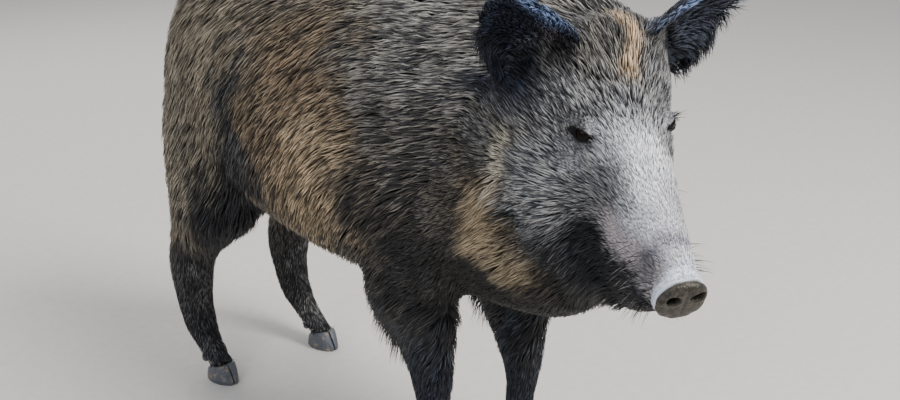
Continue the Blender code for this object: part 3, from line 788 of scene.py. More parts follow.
# The left ear in the head's frame: its root, the way it points and the way its hollow opens
EAR_ROOT, EAR_AXIS, EAR_FACE = (0.0788, -0.0881, 0.0206), (0.50, -0.10, 0.86), (0.42, 0.90, 0.05)
EAR_HALF_WIDTH, EAR_LENGTH = 0.0675, 0.160
EAR_HANG = {1: 0.0, -1: 0.90}  # how much the outer fringe of the left and the right ear hangs
# colours of an ear's parts; their blue cast is a painted reflection of the sky on black hair
EAR_HOLLOW = shades((20, 24, 34), (62, 72, 96), 0.34, length=0.016, lift=10, free=0.2)
# painted light: the left ear's hollow is lighter than the right's
EAR_LIT = shades((36, 40, 50), (104, 112, 130), 0.52)
EAR_BACK = shades((32, 35, 43), (88, 93, 106), 0.45, length=0.017, lift=9, free=0.2)
EAR_SHELL = shades((20, 19, 21), (128, 104, 98), 0.60, length=0.010, lift=10, free=0.2)
EAR_EDGE = shades((22, 26, 36), (60, 68, 90), 0.32, length=0.030, lift=18, free=0.60)
# the rim and tuft: pale hair with a painted highlight in their blue-white
EAR_RIM = shades((44, 51, 68), (136, 154, 190), 0.62, length=0.030, lift=22, free=0.70)
EAR_TUFT = shades((46, 55, 78), (136, 157, 198), 0.70, length=0.030, lift=18, free=0.5)
EAR_FRINGE = dict(length=0.048, lift=9, free=0.65)


def mirrored(way, side):
    """A direction of the left ear, for the ear of either side."""
    return head_direction(side * way[0], *way[1:])


def ear_frame(side):
    """One ear's root, its axis, the way outwards across it and the way its hollow opens."""
    root = np.array(in_head(side * EAR_ROOT[0], *EAR_ROOT[1:]))
    axis = unit(mirrored(EAR_AXIS, side))
    face = mirrored(EAR_FACE, side)
    face = unit(face - axis * (face @ axis))
    across = np.cross(axis, face)
    return root, axis, across * np.sign(across @ head_direction(side, 0, 0)), face


def ear_places(points, side):
    """How far out across an ear, -1 to 1, and how far along it, 0 to 1, each place is."""
    root, axis, outwards, _ = ear_frame(side)
    reach = points - root
    return reach @ outwards / EAR_HALF_WIDTH, reach @ axis / EAR_LENGTH


def dress_ear(surface, on_ear, side, fields):
    """Give one ear a black hollow, lighter on the left ear as painted light, a paler rim and tuft partly
    brightened by a painted highlight, and a long fringe on its outer edge.
    """
    out, along = ear_places(surface.points, side)
    facing = surface.normals @ ear_frame(side)[3]
    rim = smoothstep(0.62, 0.30, np.abs(facing)) * smoothstep(0.05, 0.25, along)
    inner = smoothstep(0.30, -0.20, out)
    shell = ridge(out, -0.35, 0.22) * ridge(along, 0.30, 0.16) * (facing > 0.3)
    tuft = (facing > 0) * smoothstep(-0.15, -0.50, out) * smoothstep(0.30, 0.50, along)
    fringe = smoothstep(0.35, 0.70, out) * smoothstep(1.0, 0.6, along)
    weight = surface.soften(on_ear.astype(float), 2)
    for share, changes in (
        (facing > 0, EAR_HOLLOW), ((facing > 0) * (side > 0), EAR_LIT), (facing <= 0, EAR_BACK),
        (shell, EAR_SHELL), (rim * (1 - inner), EAR_EDGE), (rim * inner, EAR_RIM),
        (tuft, EAR_TUFT), (fringe, EAR_FRINGE),
    ):
        for key, value in changes.items():
            bring(fields, key, value, share * weight)


def comb_field(surface, owners):
    """The lie of the coat: back along the neck, down the flank and legs, out along the ears."""
    points, normals = surface.points, surface.normals
    x, y, z = points.T
    # the hair falls more steeply low down, on the flank and most on the haunch
    down = 0.22 + 0.80 * smoothstep(0.60, 0.42, z) + 1.00 * smoothstep(-0.12, 0.12, y)
    down += 1.5 * smoothstep(0.14, 0.38, y) + 0.8 * smoothstep(0.42, 0.56, y)
    down *= 1 - 0.55 * smoothstep(0.72, 0.80, z)
    sideways = 0.30 * np.sign(x - midline(y)) * smoothstep(0.70, 0.82, z)
    comb = np.column_stack((sideways, np.ones_like(x), -down))
    # on the head it parts above and falls on the cheeks and under the jaw
    side, _, up = to_head(points).T
    parting = np.sign(side) * 0.22 * smoothstep(-0.02, 0.05, up)
    fall = 0.25 * smoothstep(0.03, 0.08, up) - 1.20 * smoothstep(-0.03, -0.15, up)
    back, lift, out = (head_direction(*way) for way in ((0, -1, 0), (0, 0, 1), (1, 0, 0)))
    on_head = is_of(owners, "head", "snout", "lower_jaw")
    comb[on_head] = (back + lift * fall[:, None] + out * parting[:, None])[on_head]
    comb[is_of(owners, "leg")] = (0.0, 0.18, -1.0)
    on_foreleg = is_of(owners, "leg_front")
    comb[on_foreleg, 1] += 0.85 * smoothstep(0.19, 0.30, z[on_foreleg])
    comb[is_of(owners, "tail")] = (0.0, 0.02, -1.0)
    # on the ears it lies towards the tip and outwards, and hangs at the outer edge
    for name, way in EAR_SIDES.items():
        _, axis, outwards, _ = ear_frame(way)
        on_ear = is_of(owners, name)
        out, along = ear_places(points[on_ear], way)
        droop = smoothstep(0.25, 0.75, out) * smoothstep(0.95, 0.45, along)
        spread = np.clip(out * 1.3, -1, 1) * lerp(1.0, 0.45, smoothstep(0.3, 1.0, along))
        spread *= 1 - EAR_HANG[way] * droop
        comb[on_ear] = axis * (1 - (1.25 + EAR_HANG[way]) * droop)[:, None] + outwards * spread[:, None]
    return along_surface(surface.soften(along_surface(comb, normals), 10), normals)


def bare_field(surface):
    """How far each point belongs to the hairless disc of the snout."""
    side, forward, up = to_head(surface.points).T
    radius = disc_radius(side, up - DISC_MIDDLE)
    return smoothstep(NOSE_TIP - 0.0165, NOSE_TIP - 0.0135, forward) * smoothstep(1.40, 1.25, radius)


def lid_rims_and_nostril_shade_field(surface):
    """Painted shade inside the nostrils, and the dark skin of the rims of the lids."""
    side, forward, up = to_head(surface.points).T
    holes = np.minimum(nostril(side, up - DISC_MIDDLE, 1), nostril(side, up - DISC_MIDDLE, -1))
    dark = smoothstep(1.05, 0.8, holes) * smoothstep(NOSE_TIP - 0.03, NOSE_TIP - 0.02, forward)
    for which, centre in EYES.items():
        edge, distance, _, _ = round_the_eye(surface.points, which, centre)
        dark = np.maximum(dark, smoothstep(1.28, 1.08, edge) * smoothstep(0.030, 0.022, distance))
    return dark


def ear_depth(surface, owners, depth):
    """The coat's depth, which on an ear is less at the rim than on its two faces."""
    for name, way in EAR_SIDES.items():
        flatness = np.abs(surface.normals @ ear_frame(way)[3])
        depth = np.where(is_of(owners, name), depth * (0.25 + 0.85 * flatness), depth)
    return depth


def unwrap(made):
    """Lay the skin out flat on a map of its own shape."""
    bpy.context.view_layer.objects.active = made
    made.select_set(True)
    bpy.ops.object.mode_set(mode="EDIT")
    bpy.ops.mesh.select_all(action="SELECT")
    bpy.ops.uv.smart_project(angle_limit=math.radians(70), island_margin=0.004)
    bpy.ops.object.mode_set(mode="OBJECT")
    made.data.uv_layers[0].name = "OFBake"
    made.select_set(False)


class BoarSkin(PropertyGroup):
    grain: FloatProperty(name="Grain", description="Size of the skin's quads", default=0.0068, unit="LENGTH")
    swell: FloatProperty(name="Swell", description="How much the solids are filled out before joining",
                         default=0.001, unit="LENGTH")
    smoothing: IntProperty(name="Smoothing", description="Rounds of smoothing of the joined body", default=14)


class BOAR_OT_skin(Operator):
    """Join the solids of flesh into one skin under the coat, with lids, nostrils, lips and folds"""
    bl_idname = "boar.skin"
    bl_label = "Make Skin"

    def execute(self, context):
        settings = context.scene.boar_skin
        joined, owners = flesh_mesh()
        solids = BVHTree.FromBMesh(joined)
        fill_hollows(joined)
        made = object_from("boar_skin", joined)
        melt = made.modifiers.new("Join", "REMESH")
        melt.mode = "VOXEL"
        melt.voxel_size = settings.grain
        mesh = applied(made).data
        self.relax(mesh, solids, owners, settings.smoothing)
        self.refine(mesh)
        surface = Surface(mesh)
        owner = owners_of(surface, solids, owners)
        fields = coat_fields(surface, owner)
        self.sculpt(mesh, surface, owner, fields["depth"], settings.swell)
        mesh.shade_smooth()
        surface = Surface(mesh)
        comb = comb_field(surface, owner)
        unwrap(made)
        opaque = np.ones(len(owner))
        for key, values in {"base_colour": np.column_stack((fields["root"], opaque)),
                            "tip_colour": np.column_stack((fields["tip"], fields["pale"])),
                            "bare": bare_field(surface), "lid_rims_and_nostril_shade": lid_rims_and_nostril_shade_field(surface), "comb": comb,
                            "owner": owner.astype(float),
                            **{"coat_" + key: fields[key] for key in SIZES}}.items():
            write_field(mesh, key, values)
        finished(made, skin_look(), "coat", *FLESH)
        return {"FINISHED"}

    def relax(self, mesh, solids, owners, rounds):
        """Smooth away the solids' facets, but keep the thin ears at their full size."""
        surface = Surface(mesh)
        thin = is_of(owners_of(surface, solids, owners), "ear").astype(float)
        move_points(mesh, surface.relaxed(rounds, 1 - 0.8 * surface.soften(thin, 2)))

    def refine(self, mesh):
        """Give the snout, the lips and the lids a finer grain, and smooth it."""
        bm = bmesh.new()
        bm.from_mesh(mesh)
        refine(bm, near_detail, 2)
        refine(bm, near_opening, 1)
        bm.to_mesh(mesh)
        bm.free()
        surface = Surface(mesh)
        fine = np.array([near_detail(Vector(point)) for point in surface.points]).astype(float)
        move_points(mesh, surface.relaxed(5, surface.soften(fine, 2)))

    def sculpt(self, mesh, surface, owner, depth, swell):
        """Sink the skin under the coat, then shape the snout, the lips and the lids."""
        depth = surface.soften(ear_depth(surface, owner, depth) + swell, 4)
        thick = 1 - surface.soften(is_of(owner, "ear").astype(float), 2)
        points = surface.soften(surface.points - surface.normals * depth[:, None], 3, thick)
        move_points(mesh, points)
        normals = numbers(mesh.vertices, "normal", 3)
        move_points(mesh, sculpt_lids(sculpt_lips(sculpt_snout(points, normals), normals)))


# ---------------------------------------------------------------- coat

class Hide(Surface):
    """The finished skin as arrays, for placing locks on it."""

    def __init__(self, mesh):
        super().__init__(mesh)
        mesh.calc_loop_triangles()
        self.corners = numbers(mesh.loop_triangles, "vertices", 3, np.int32)
        self.loops = numbers(mesh.loop_triangles, "loops", 3, np.int32)
        self.uv = numbers(mesh.uv_layers["OFBake"].data, "uv", 2)
        self.fields = {key: read_field(mesh, "coat_" + key, 1) for key in SIZES}
        for key, name, width in (("bare", "bare", 1), ("owner", "owner", 1), ("comb", "comb", 3),
                                 ("root", "base_colour", 4), ("tip", "tip_colour", 4)):
            self.fields[key] = read_field(mesh, name, width)
        a, b, c = (self.points[self.corners[:, k]] for k in range(3))
        self.areas = np.linalg.norm(np.cross(b - a, c - a), axis=1) / 2
        self.middles = (a + b + c) / 3
        self.tree = BVHTree.FromPolygons(self.points.tolist(), self.corners.tolist())
        self.face_comb = unit(self.at_middles(self.fields["comb"]))

    def at_middles(self, values):
        return values[self.corners].mean(axis=1)

    def scatter(self, chosen, rng, crowd):
        """Random places on the chosen triangles, as dense as the locks' spacing asks."""
        spacing = self.at_middles(self.fields["spacing"]) / crowd
        wanted = self.areas / spacing**2 * chosen
        number = np.floor(wanted + rng.random(len(wanted))).astype(int)
        face = np.repeat(np.arange(len(wanted)), number)
        one, two = rng.random(len(face)), rng.random(len(face))
        flip = one + two > 1
        one[flip], two[flip] = 1 - one[flip], 1 - two[flip]
        return face, np.column_stack((1 - one - two, one, two))

    def sample(self, values, face, weights):
        return np.einsum("nk,nk...->n...", weights, values[self.corners[face]])

    def walk(self, starts, ways, steps):
        """Follow the lie of the coat over the skin: places and normals after each step."""
        places, normals = [starts], [nearest(self.tree, starts)[1]]
        here, way = starts, ways
        for length in steps:
            here, normal, face = nearest(self.tree, here + way * length[:, None])
            way = along_surface(unit(way + self.face_comb[face] * 0.9), normal)
            places.append(here)
            normals.append(normal)
        return places, normals


MOST_TRIANGLES = 200000  # in one piece
TUFT_PATCH = 0.003  # width of one lock's patch on the map
# Coat pieces that are halves of a solid: the solid, and which end of it
HALVED_ZONES = {"neck": ("neck", None), "shoulder": ("trunk", "front"), "haunch": ("trunk", "back"),
                "cheek": ("head", "cheek")}
# All coat pieces: their solids, their side where it is one of two halves, and their end
ZONES = {f"coat_{part}_{word}": ((solid,), SIDES[word], end)
         for part, (solid, end) in HALVED_ZONES.items() for word in ("right", "left")}
ZONES |= {"coat_muzzle": (("head", "snout", "lower_jaw"), 0, "muzzle"), "coat_ears": (("ear",), 0, None)}
ZONES |= {f"coat_{leg}leg_{word}": ((f"leg_{end}_{word}",), 0, None)
          for leg, end in (("fore", "front"), ("hind", "hind")) for word in ("right", "left")}
ZONES["coat_tail"] = (("tail",), 0, None)
MUZZLE_BACK = 0.02  # distance forward where the cheeks' coat ends and the muzzle's begins
FLANK_MIDDLE = 0.13  # place along Y where the shoulder's coat ends and the haunch's begins


def zone_share(hide, solids, side, end):
    """Which triangles of the skin a coat piece covers."""
    owner = np.rint(hide.fields["owner"][hide.corners[:, 0]]).astype(int)
    x, y, _ = hide.middles.T
    across, forward, _ = to_head(hide.middles).T
    ends = {"front": y < FLANK_MIDDLE, "back": y >= FLANK_MIDDLE, "cheek": forward < MUZZLE_BACK,
            "muzzle": (forward >= MUZZLE_BACK) | ~is_of(owner, "head")}
    chosen = is_of(owner, *solids) & ends.get(end, True)
    if side:
        chosen &= (across if end == "cheek" else x - midline(y)) * side >= 0
    return chosen & (hide.at_middles(hide.fields["bare"]) < 0.4) & ~inside_lids(hide.middles)


def inside_lids(places):
    """Whether a place is in the opening of an eye."""
    inside = np.zeros(len(places), bool)
    for side, centre in EYES.items():
        edge, distance, way, _ = round_the_eye(places, side, centre)
        inside |= (edge < 1.18) & (distance < EYE_RADIUS * 1.6) & (way @ eye_axes(side)[0] > 0)
    return inside


# Places of a lock's sections along it and their widths: long locks bend twice, short ones once
LONG_LOCK = ((0.0, 0.72), (0.34, 1.00), (0.70, 0.74))
SHORT_LOCK = ((0.0, 0.90), (0.52, 0.95))
SECTION = ((-1.0, 0.0), (0.0, 0.55), (1.0, 0.0))  # across and off the skin, in half widths
CLUMP_SIZE, CLUMP_PULL = 7, 0.55  # locks in a clump, and how far their tips are drawn together
# How much single locks differ, as shares of what their place asks for
LENGTHS, WIDTHS, LIFTS, HEIGHTS, SWINGS = (0.72, 1.18), (0.7, 1.25), (0.5, 1.5), (0.45, 0.98), (0.02, 0.07)
STRAY = 0.16  # how much their lie wanders, as a share of their length
SAG = 0.16  # how far a free tip falls, as a share of its length
ROOT_SINK = 0.0008  # how deep a root stands in the skin


def clumped(tips, roots, rng):
    """How far to move each lock's tip to draw neighbouring locks together."""
    number = max(len(roots) // CLUMP_SIZE, 1)
    leaders = rng.choice(len(roots), number, replace=False)
    tree = KDTree(number)
    for k, leader in enumerate(leaders):
        tree.insert(roots[leader], k)
    tree.balance()
    leader = leaders[np.array([tree.find(r)[1] for r in roots])]
    return (tips[leader] - roots[leader] + lerp(roots, roots[leader], CLUMP_PULL) - tips) * CLUMP_PULL


def locks(hide, name, chosen, shape, seed, crowd):
    """Grow one coat piece: closed tapering locks that follow the lie of the coat."""
    rng = np.random.default_rng(seed)
    face, weights = hide.scatter(chosen, rng, crowd)
    count = len(face)
    sizes = {key: hide.sample(hide.fields[key], face, weights) for key in SIZES}
    roots = hide.sample(hide.points, face, weights)
    normal = unit(hide.sample(hide.normals, face, weights))
    comb = hide.sample(hide.fields["comb"], face, weights)
    way = unit(comb + np.cross(normal, comb) * rng.normal(0, STRAY, count)[:, None])
    length = sizes["length"] * rng.uniform(*LENGTHS, count)
    width = sizes["width"] * rng.uniform(*WIDTHS, count)
    lift = np.radians(sizes["lift"] * rng.uniform(*LIFTS, count))
    shares = [share for share, _ in shape] + [1.0]
    places, normals = hide.walk(roots, way, [length * (b - a) for a, b in zip(shares, shares[1:])])
    height = sizes["depth"] * rng.uniform(*HEIGHTS, count)
    loft = way * np.cos(lift)[:, None] + normal * np.sin(lift)[:, None]
    phase, beats = rng.random(count), rng.uniform(0.5, 1.1, count)
    swing = length * rng.uniform(*SWINGS, count)
    line = []
    for share, place, up in zip(shares, places, normals):
        rise = height * (1 - (1 - share) ** 1.8) - ROOT_SINK * (share == 0)
        lying = place + up * rise[:, None]
        sag = np.array((0, 0, 1.0)) * (length * SAG * share**2)[:, None]
        hanging = roots + loft * (length * share)[:, None] - sag
        across = unit(np.cross(up, way))
        wave = swing * (np.sin(2 * np.pi * (beats * share + phase)) - np.sin(2 * np.pi * phase)) * share
        line.append(lerp(lying, hanging, sizes["free"][:, None]) + across * wave[:, None])
    drawn = clumped(line[-1], roots, rng)
    line = [point + drawn * share**1.5 for share, point in zip(shares, line)]
    return weave(name, shape, tapered(line, normals, shape, width), strands(hide, face, weights, rng, count))


def tapered(line, normals, shape, width):
    """The corners of closed tapering shapes drawn along lines."""
    corners = np.empty((len(width), len(shape) * 3 + 1, 3))
    for k, (_, share) in enumerate(shape):
        along = unit(line[k + 1] - line[max(k - 1, 0)])
        across = unit(np.cross(normals[k], along))
        off = unit(np.cross(along, across))
        half = (width * share / 2)[:, None]
        for j, (wide, high) in enumerate(SECTION):
            corners[:, k * 3 + j] = line[k] + across * half * wide + off * half * high
    corners[:, -1] = line[-1]
    return corners


def strands(hide, face, weights, rng, count):
    """What a lock carries: its place on the map, its colours and its share of pale."""
    uv = np.einsum("nk,nkc->nc", weights, hide.uv[hide.loops[face]])
    root, tip = (hide.sample(hide.fields[key], face, weights) for key in ("root", "tip"))
    chance = rng.random(count)
    pale = smoothstep(-0.18, 0.18, tip[:, 3] - rng.random(count)) * rng.uniform(0.75, 1.0, count)
    return uv, root, tip, chance, pale


def lock_faces(rings):
    """Faces of one lock, and where each corner lies on the lock's own patch of the map."""
    faces, patch = [], []
    spots = ((0.0, 0.5), (0.5, 1.0), (1.0, 0.0))
    for k in range(rings - 1):
        low, high = k / rings, (k + 1) / rings
        for j, (left, right) in enumerate(spots):
            one, two = k * 3 + j, k * 3 + (j + 1) % 3
            faces += [(one, two, two + 3), (one, two + 3, one + 3)]
            patch += [((left, low), (right, low), (right, high)), ((left, low), (right, high), (left, high))]
    last, tip, low = (rings - 1) * 3, rings * 3, (rings - 1) / rings
    for j, (left, right) in enumerate(spots):
        faces.append((last + j, last + (j + 1) % 3, tip))
        patch.append(((left, low), (right, low), (0.5, 1.0)))
    faces.append((2, 1, 0))
    patch.append(((1.0, 0.0), (0.5, 0.3), (0.0, 0.0)))
    return np.array(faces), np.array(patch)


def weave(name, shape, corners, carried):
    """Join all locks of a piece into one mesh with its map and fields."""
    uv, root, tip, chance, pale = carried
    faces, patch = lock_faces(len(shape))
    count, per = corners.shape[:2]
    triangles = (faces[None] + (np.arange(count) * per)[:, None, None]).reshape(-1, 3)
    mesh = bpy.data.meshes.new(name)
    mesh.vertices.add(count * per)
    mesh.vertices.foreach_set("co", corners.astype(np.float32).ravel())
    mesh.loops.add(len(triangles) * 3)
    mesh.loops.foreach_set("vertex_index", triangles.astype(np.int32).ravel())
    mesh.polygons.add(len(triangles))
    mesh.polygons.foreach_set("loop_start", np.arange(0, len(triangles) * 3, 3, dtype=np.int32))
    mesh.update(calc_edges=True)
    low, high = uv.min(axis=0), uv.max(axis=0)
    spread = 0.01 + (uv - low) / np.maximum(high - low, 1e-6) * (0.98 - TUFT_PATCH)
    spots = spread[:, None, None, :] + (patch * TUFT_PATCH)[None]
    layer = mesh.uv_layers.new(name="OFBake")
    layer.data.foreach_set("uv", spots.astype(np.float32).ravel())
    shares = (*np.repeat([share for share, _ in shape], 3), 1.0)
    strand = np.column_stack((np.tile(shares, count), *(np.repeat(value, per) for value in (chance, pale))))
    write_field(mesh, "strand", strand)
    write_field(mesh, "base_colour", np.repeat(root, per, axis=0))
    write_field(mesh, "tip_colour", np.repeat(tip, per, axis=0))
    mesh.shade_smooth()
    if len(triangles) >= MOST_TRIANGLES:
        raise ValueError(f"{name} has {len(triangles)} triangles")
    return new_object(name, mesh)


class BoarCoat(PropertyGroup):
    crowd: FloatProperty(name="Crowding", description="How much closer the locks stand than their spacing",
                         default=1.0)
    seed: IntProperty(name="Seed", description="Start of the random draws", default=11)


class BOAR_OT_coat(Operator):
    """Grow the coat in locks over the whole skin, a piece for each part of the body"""
    bl_idname = "boar.coat"
    bl_label = "Grow Coat"

    def execute(self, context):
        hide = Hide(bpy.data.objects["boar_skin"].data)
        look = coat_look()
        settings = context.scene.boar_coat
        for k, (name, (solids, side, end)) in enumerate(ZONES.items()):
            chosen = zone_share(hide, solids, side, end)
            on_body = solids[0] in ("neck", "trunk")
            shape = LONG_LOCK if on_body or solids[0] == "tail" else SHORT_LOCK
            made = locks(hide, name, chosen, shape, settings.seed + k, settings.crowd)
            finished(made, look, "coat" if on_body or solids[0] == "head" else "dark_coat")
        return {"FINISHED"}


# Whiskers and brow bristles on each side: middle and spread in the head's frame, how many,
# how long, and the way they point
WHISKERS = (
    ((0.036, 0.165, -0.078), (0.006, 0.028, 0.018), 22, 0.036, (0.80, -0.20, -0.35)),
    ((0.018, 0.170, -0.125), (0.014, 0.030, 0.010), 26, 0.030, (0.40, 0.05, -0.90)),
    ((0.062, 0.008, 0.024), (0.006, 0.014, 0.005), 10, 0.030, (0.55, 0.25, 0.70)),
    ((0.070, 0.060, -0.080), (0.006, 0.020, 0.016), 8, 0.034, (0.80, -0.30, -0.30)),
)
LASHES, LASH_LENGTH = 40, 0.0130
BRISTLE_WIDTH = 0.0008
BRISTLE_ROOT, BRISTLE_TIP = tone(26, 25, 27), tone(150, 148, 146)


def face_bristles(rng):
    """Roots, ways and lengths of the whiskers and lashes on both sides."""
    roots, ways, lengths = [], [], []
    for side in (1, -1):
        for middle, spread, number, length, way in WHISKERS:
            for _ in range(number):
                place = np.array(middle) + rng.normal(0, 0.6, 3) * spread
                roots.append(in_head(side * abs(place[0]), *place[1:]))
                turned = np.array(way) + rng.normal(0, 0.22, 3)
                ways.append(head_direction(side * turned[0], *turned[1:]))
                lengths.append(length * rng.uniform(0.6, 1.15))
        out, ahead, up = eye_axes(side)
        for k in range(LASHES):
            turn = math.pi * (0.06 + 0.88 * (k + rng.uniform(-0.3, 0.3)) / LASHES)
            across, rise = 1.12 * LID_WIDTH * math.cos(turn), 1.12 * LID_HEIGHT_UP * math.sin(turn)
            aim = out * math.cos(rise) * math.cos(across) + ahead * math.sin(across)
            aim = unit(aim + up * math.sin(rise))
            roots.append(EYES[side] + Vector(aim) * (EYE_RADIUS + LID_THICKNESS))
            ways.append(aim + up * 0.5 + ahead * 0.5 * math.cos(turn) + rng.normal(0, 0.10, 3))
            lengths.append(LASH_LENGTH * rng.uniform(0.7, 1.1) * (0.6 + 0.4 * math.sin(turn)))
    return np.array(roots), unit(np.array(ways)), np.array(lengths)


class BOAR_OT_bristles(Operator):
    """Set the whiskers, brow bristles and lashes in the skin of the face"""
    bl_idname = "boar.bristles"
    bl_label = "Set Bristles"

    def execute(self, context):
        hide = Hide(bpy.data.objects["boar_skin"].data)
        rng = np.random.default_rng(context.scene.boar_coat.seed)
        roots, ways, lengths = face_bristles(rng)
        ground, normals, face = nearest(hide.tree, roots)
        uv = hide.uv[hide.loops[face, 0]]
        ways = unit(ways + normals * 0.35)
        line = []
        for share in (*(place for place, _ in LONG_LOCK), 1.0):
            droop = np.array((0, 0, -0.22)) * (lengths * share**2)[:, None]
            line.append(ground - normals * 0.0006 + ways * (lengths * share)[:, None] + droop)
        count = len(lengths)
        width = np.full(count, BRISTLE_WIDTH)
        root, tip = (np.tile((*colour, 1.0), (count, 1)) for colour in (BRISTLE_ROOT, BRISTLE_TIP))
        pale = (rng.random(count) < 0.4) * (lengths > LASH_LENGTH * 1.2) * 0.9
        carried = uv, root, tip, rng.random(count), pale
        made = weave("boar_bristles", LONG_LOCK, tapered(line, [normals] * 4, LONG_LOCK, width), carried)
        finished(made, bpy.data.materials["bristle_coat"], "dark_coat")
        return {"FINISHED"}


# ---------------------------------------------------------------- eyes and hooves

CORNEA = 0.045  # how far the cornea stands out, as a share of the eye's radius
HOOF_ROUNDING = 0.0011  # width of the bevel on the edges of hooves and dewclaws
SHARP_EDGE = 0.3  # edges that turn by more than this, in radians, are rounded


class BOAR_OT_eyes(Operator):
    """Make the two glossy eyeballs that sit behind the lids"""
    bl_idname = "boar.eyes"
    bl_label = "Make Eyes"

    def execute(self, context):
        look = eye_look()
        for word, side in SIDES.items():
            out, ahead, up = (Vector(axis) for axis in eye_axes(side))
            bm = bmesh.new()
            bmesh.ops.create_uvsphere(bm, u_segments=40, v_segments=28, radius=EYE_RADIUS)
            turned = Matrix((ahead, up, out)).transposed().to_4x4()
            gaze = np.array([vert.co / EYE_RADIUS for vert in bm.verts])
            for vert, way in zip(bm.verts, gaze):
                vert.co *= 1 + CORNEA * float(smoothstep(0.55, 0.95, way[2]))
            bmesh.ops.transform(bm, matrix=Matrix.Translation(EYES[side]) @ turned, verts=bm.verts)
            bmesh.ops.recalc_face_normals(bm, faces=bm.faces)
            made = object_from("boar_eye_" + word, bm)
            made.data.shade_smooth()
            write_field(made.data, "gaze", gaze)
            finished(made, look, "eye", "eye_" + word)
        return {"FINISHED"}


class BOAR_OT_hooves(Operator):
    """Round off the hooves and dewclaws and give them horn's look"""
    bl_idname = "boar.hooves"
    bl_label = "Make Hooves"

    def execute(self, context):
        look = hoof_look()
        for foot, kind, word in product(FEET, ("hoof", "dewclaw"), ("a", "b")):
            node = f"{kind}_{foot}_{word}"
            bm = bmesh.new()
            bm.from_mesh(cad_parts[node].data)
            bmesh.ops.remove_doubles(bm, verts=bm.verts, dist=WELD)
            bmesh.ops.dissolve_limit(bm, angle_limit=math.radians(4), verts=bm.verts, edges=bm.edges)
            sharp = [edge for edge in bm.edges if len(edge.link_faces) == 2]
            sharp = [edge for edge in sharp if edge.calc_face_angle() > SHARP_EDGE]
            bmesh.ops.bevel(bm, geom=sharp, offset=HOOF_ROUNDING, offset_type="OFFSET", segments=2,
                            profile=0.5, affect="EDGES", material=-1)
            bmesh.ops.triangulate(bm, faces=bm.faces)
            made = object_from("boar_" + node, bm)
            made.data.shade_smooth()
            finished(made, look, "hoof", node)
        return {"FINISHED"}


# ---------------------------------------------------------------- stage

class BoarStage(PropertyGroup):
    place: FloatVectorProperty(name="Camera place", description="Where the camera stands", subtype="XYZ",
                               unit="LENGTH", default=(-1.20569, -1.38904, 1.09688))
    turn: FloatProperty(name="Turn", description="The camera looks this far to the animal's left of its tail",
                        subtype="ANGLE", unit="ROTATION", default=math.radians(43.604))
    tip: FloatProperty(name="Tip", description="How far the camera looks down", subtype="ANGLE",
                       unit="ROTATION", default=math.radians(19.708))
    lens: FloatProperty(name="Lens", description="Focal length in millimetres", default=48.62)


FLOOR_RADIUS, FLOOR_DROP = 14.0, 0.0005
LIGHTS = (  # name, place, width, power and colour
    ("key", (0.9, -2.6, 3.4), 2.2, 260, (1.0, 0.98, 0.94)),
    ("fill", (-3.4, -0.6, 2.4), 3.0, 60, (0.90, 0.95, 1.0)),
    ("rim", (0.8, 3.2, 2.8), 2.5, 70, (1.0, 0.98, 0.95)),
)
LIGHTS_AIM = Vector((0, 0, 0.45))  # the middle of the animal


def stood(name, data, place, way):
    """Put a light or the camera at a place, looking along a way."""
    made = new_object(name, data)
    made.location = place
    made.rotation_mode = "QUATERNION"
    made.rotation_quaternion = way.to_track_quat("-Z", "Y")
    return made


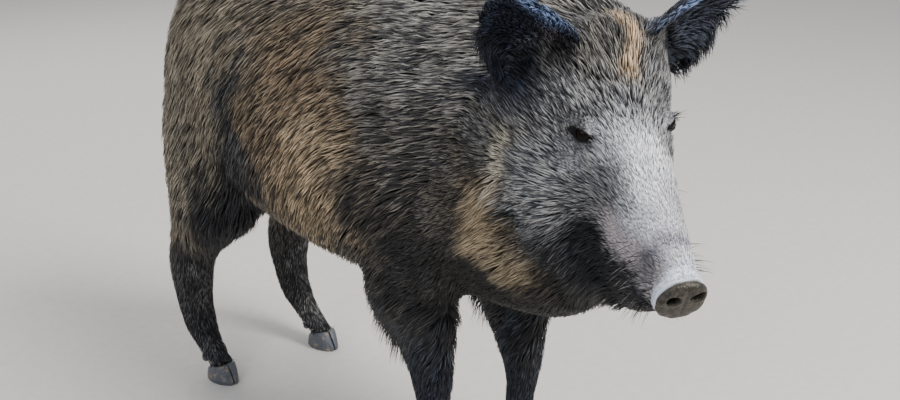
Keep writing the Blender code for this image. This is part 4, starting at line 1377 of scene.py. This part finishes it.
class BOAR_OT_stage(Operator):
    """Set a plain pale floor, soft studio light and the camera"""
    bl_idname = "boar.stage"
    bl_label = "Set Stage"

    def execute(self, context):
        self.floor()
        self.lights(context)
        self.camera(context)
        return {"FINISHED"}

    def floor(self):
        bm = bmesh.new()
        bmesh.ops.create_circle(bm, cap_ends=True, segments=96, radius=FLOOR_RADIUS)
        bmesh.ops.translate(bm, vec=(0, 0, -FLOOR_DROP), verts=bm.verts)
        floor = object_from("stage_floor", bm)
        look = Look("pale_floor")
        grain = look.noise(look.place(), 45.0, 4.0)
        look.set(Base_Color=look.mix(grain, tone(196, 190, 184), tone(212, 207, 201)), Roughness=0.9)
        floor.data.materials.append(look.material)

    def lights(self, context):
        world = bpy.data.worlds.new("studio")
        world.use_nodes = True
        shade = world.node_tree.nodes["Background"]
        shade.inputs["Color"].default_value = (0.82, 0.87, 0.95, 1)
        shade.inputs["Strength"].default_value = 0.62
        context.scene.world = world
        for name, place, width, power, colour in LIGHTS:
            light = bpy.data.lights.new(name, "AREA")
            light.size = width
            light.energy = power
            light.color = colour
            stood(name, light, place, LIGHTS_AIM - Vector(place))

    def camera(self, context):
        stage = context.scene.boar_stage
        lens = bpy.data.cameras.new("camera")
        lens.lens = stage.lens
        level = math.cos(stage.tip)
        way = Vector((math.sin(stage.turn) * level, math.cos(stage.turn) * level, -math.sin(stage.tip)))
        context.scene.camera = stood("camera", lens, stage.place, way)


class BOAR_PT_panel(Panel):
    """Lists the boar's pieces and their settings"""
    bl_idname = "BOAR_PT_panel"
    bl_label = "Wild Boar"
    bl_space_type = "VIEW_3D"
    bl_region_type = "UI"
    bl_category = "Boar"

    def draw(self, context):
        column = self.layout.column()
        for operator in OPERATORS:
            column.operator(operator.bl_idname)
        for name, group in GROUPS.items():
            for key in group.__annotations__:
                column.prop(getattr(context.scene, name), key)


OPERATORS = (BOAR_OT_skin, BOAR_OT_eyes, BOAR_OT_hooves, BOAR_OT_coat, BOAR_OT_bristles, BOAR_OT_stage)
GROUPS = {"boar_skin": BoarSkin, "boar_coat": BoarCoat, "boar_stage": BoarStage}
CLASSES = (*GROUPS.values(), *OPERATORS, BOAR_PT_panel)


def register():
    for made in CLASSES:
        bpy.utils.register_class(made)
    for name, group in GROUPS.items():
        setattr(bpy.types.Scene, name, PointerProperty(type=group))


def unregister():
    for name in GROUPS:
        delattr(bpy.types.Scene, name)
    for made in reversed(CLASSES):
        bpy.utils.unregister_class(made)


def main():
    """Build every piece in order."""
    register()
    bpy.ops.boar.skin()
    bpy.ops.boar.eyes()
    bpy.ops.boar.hooves()
    bpy.ops.boar.coat()
    bpy.ops.boar.bristles()
    bpy.ops.boar.stage()


if __name__ == "__main__":
    main()
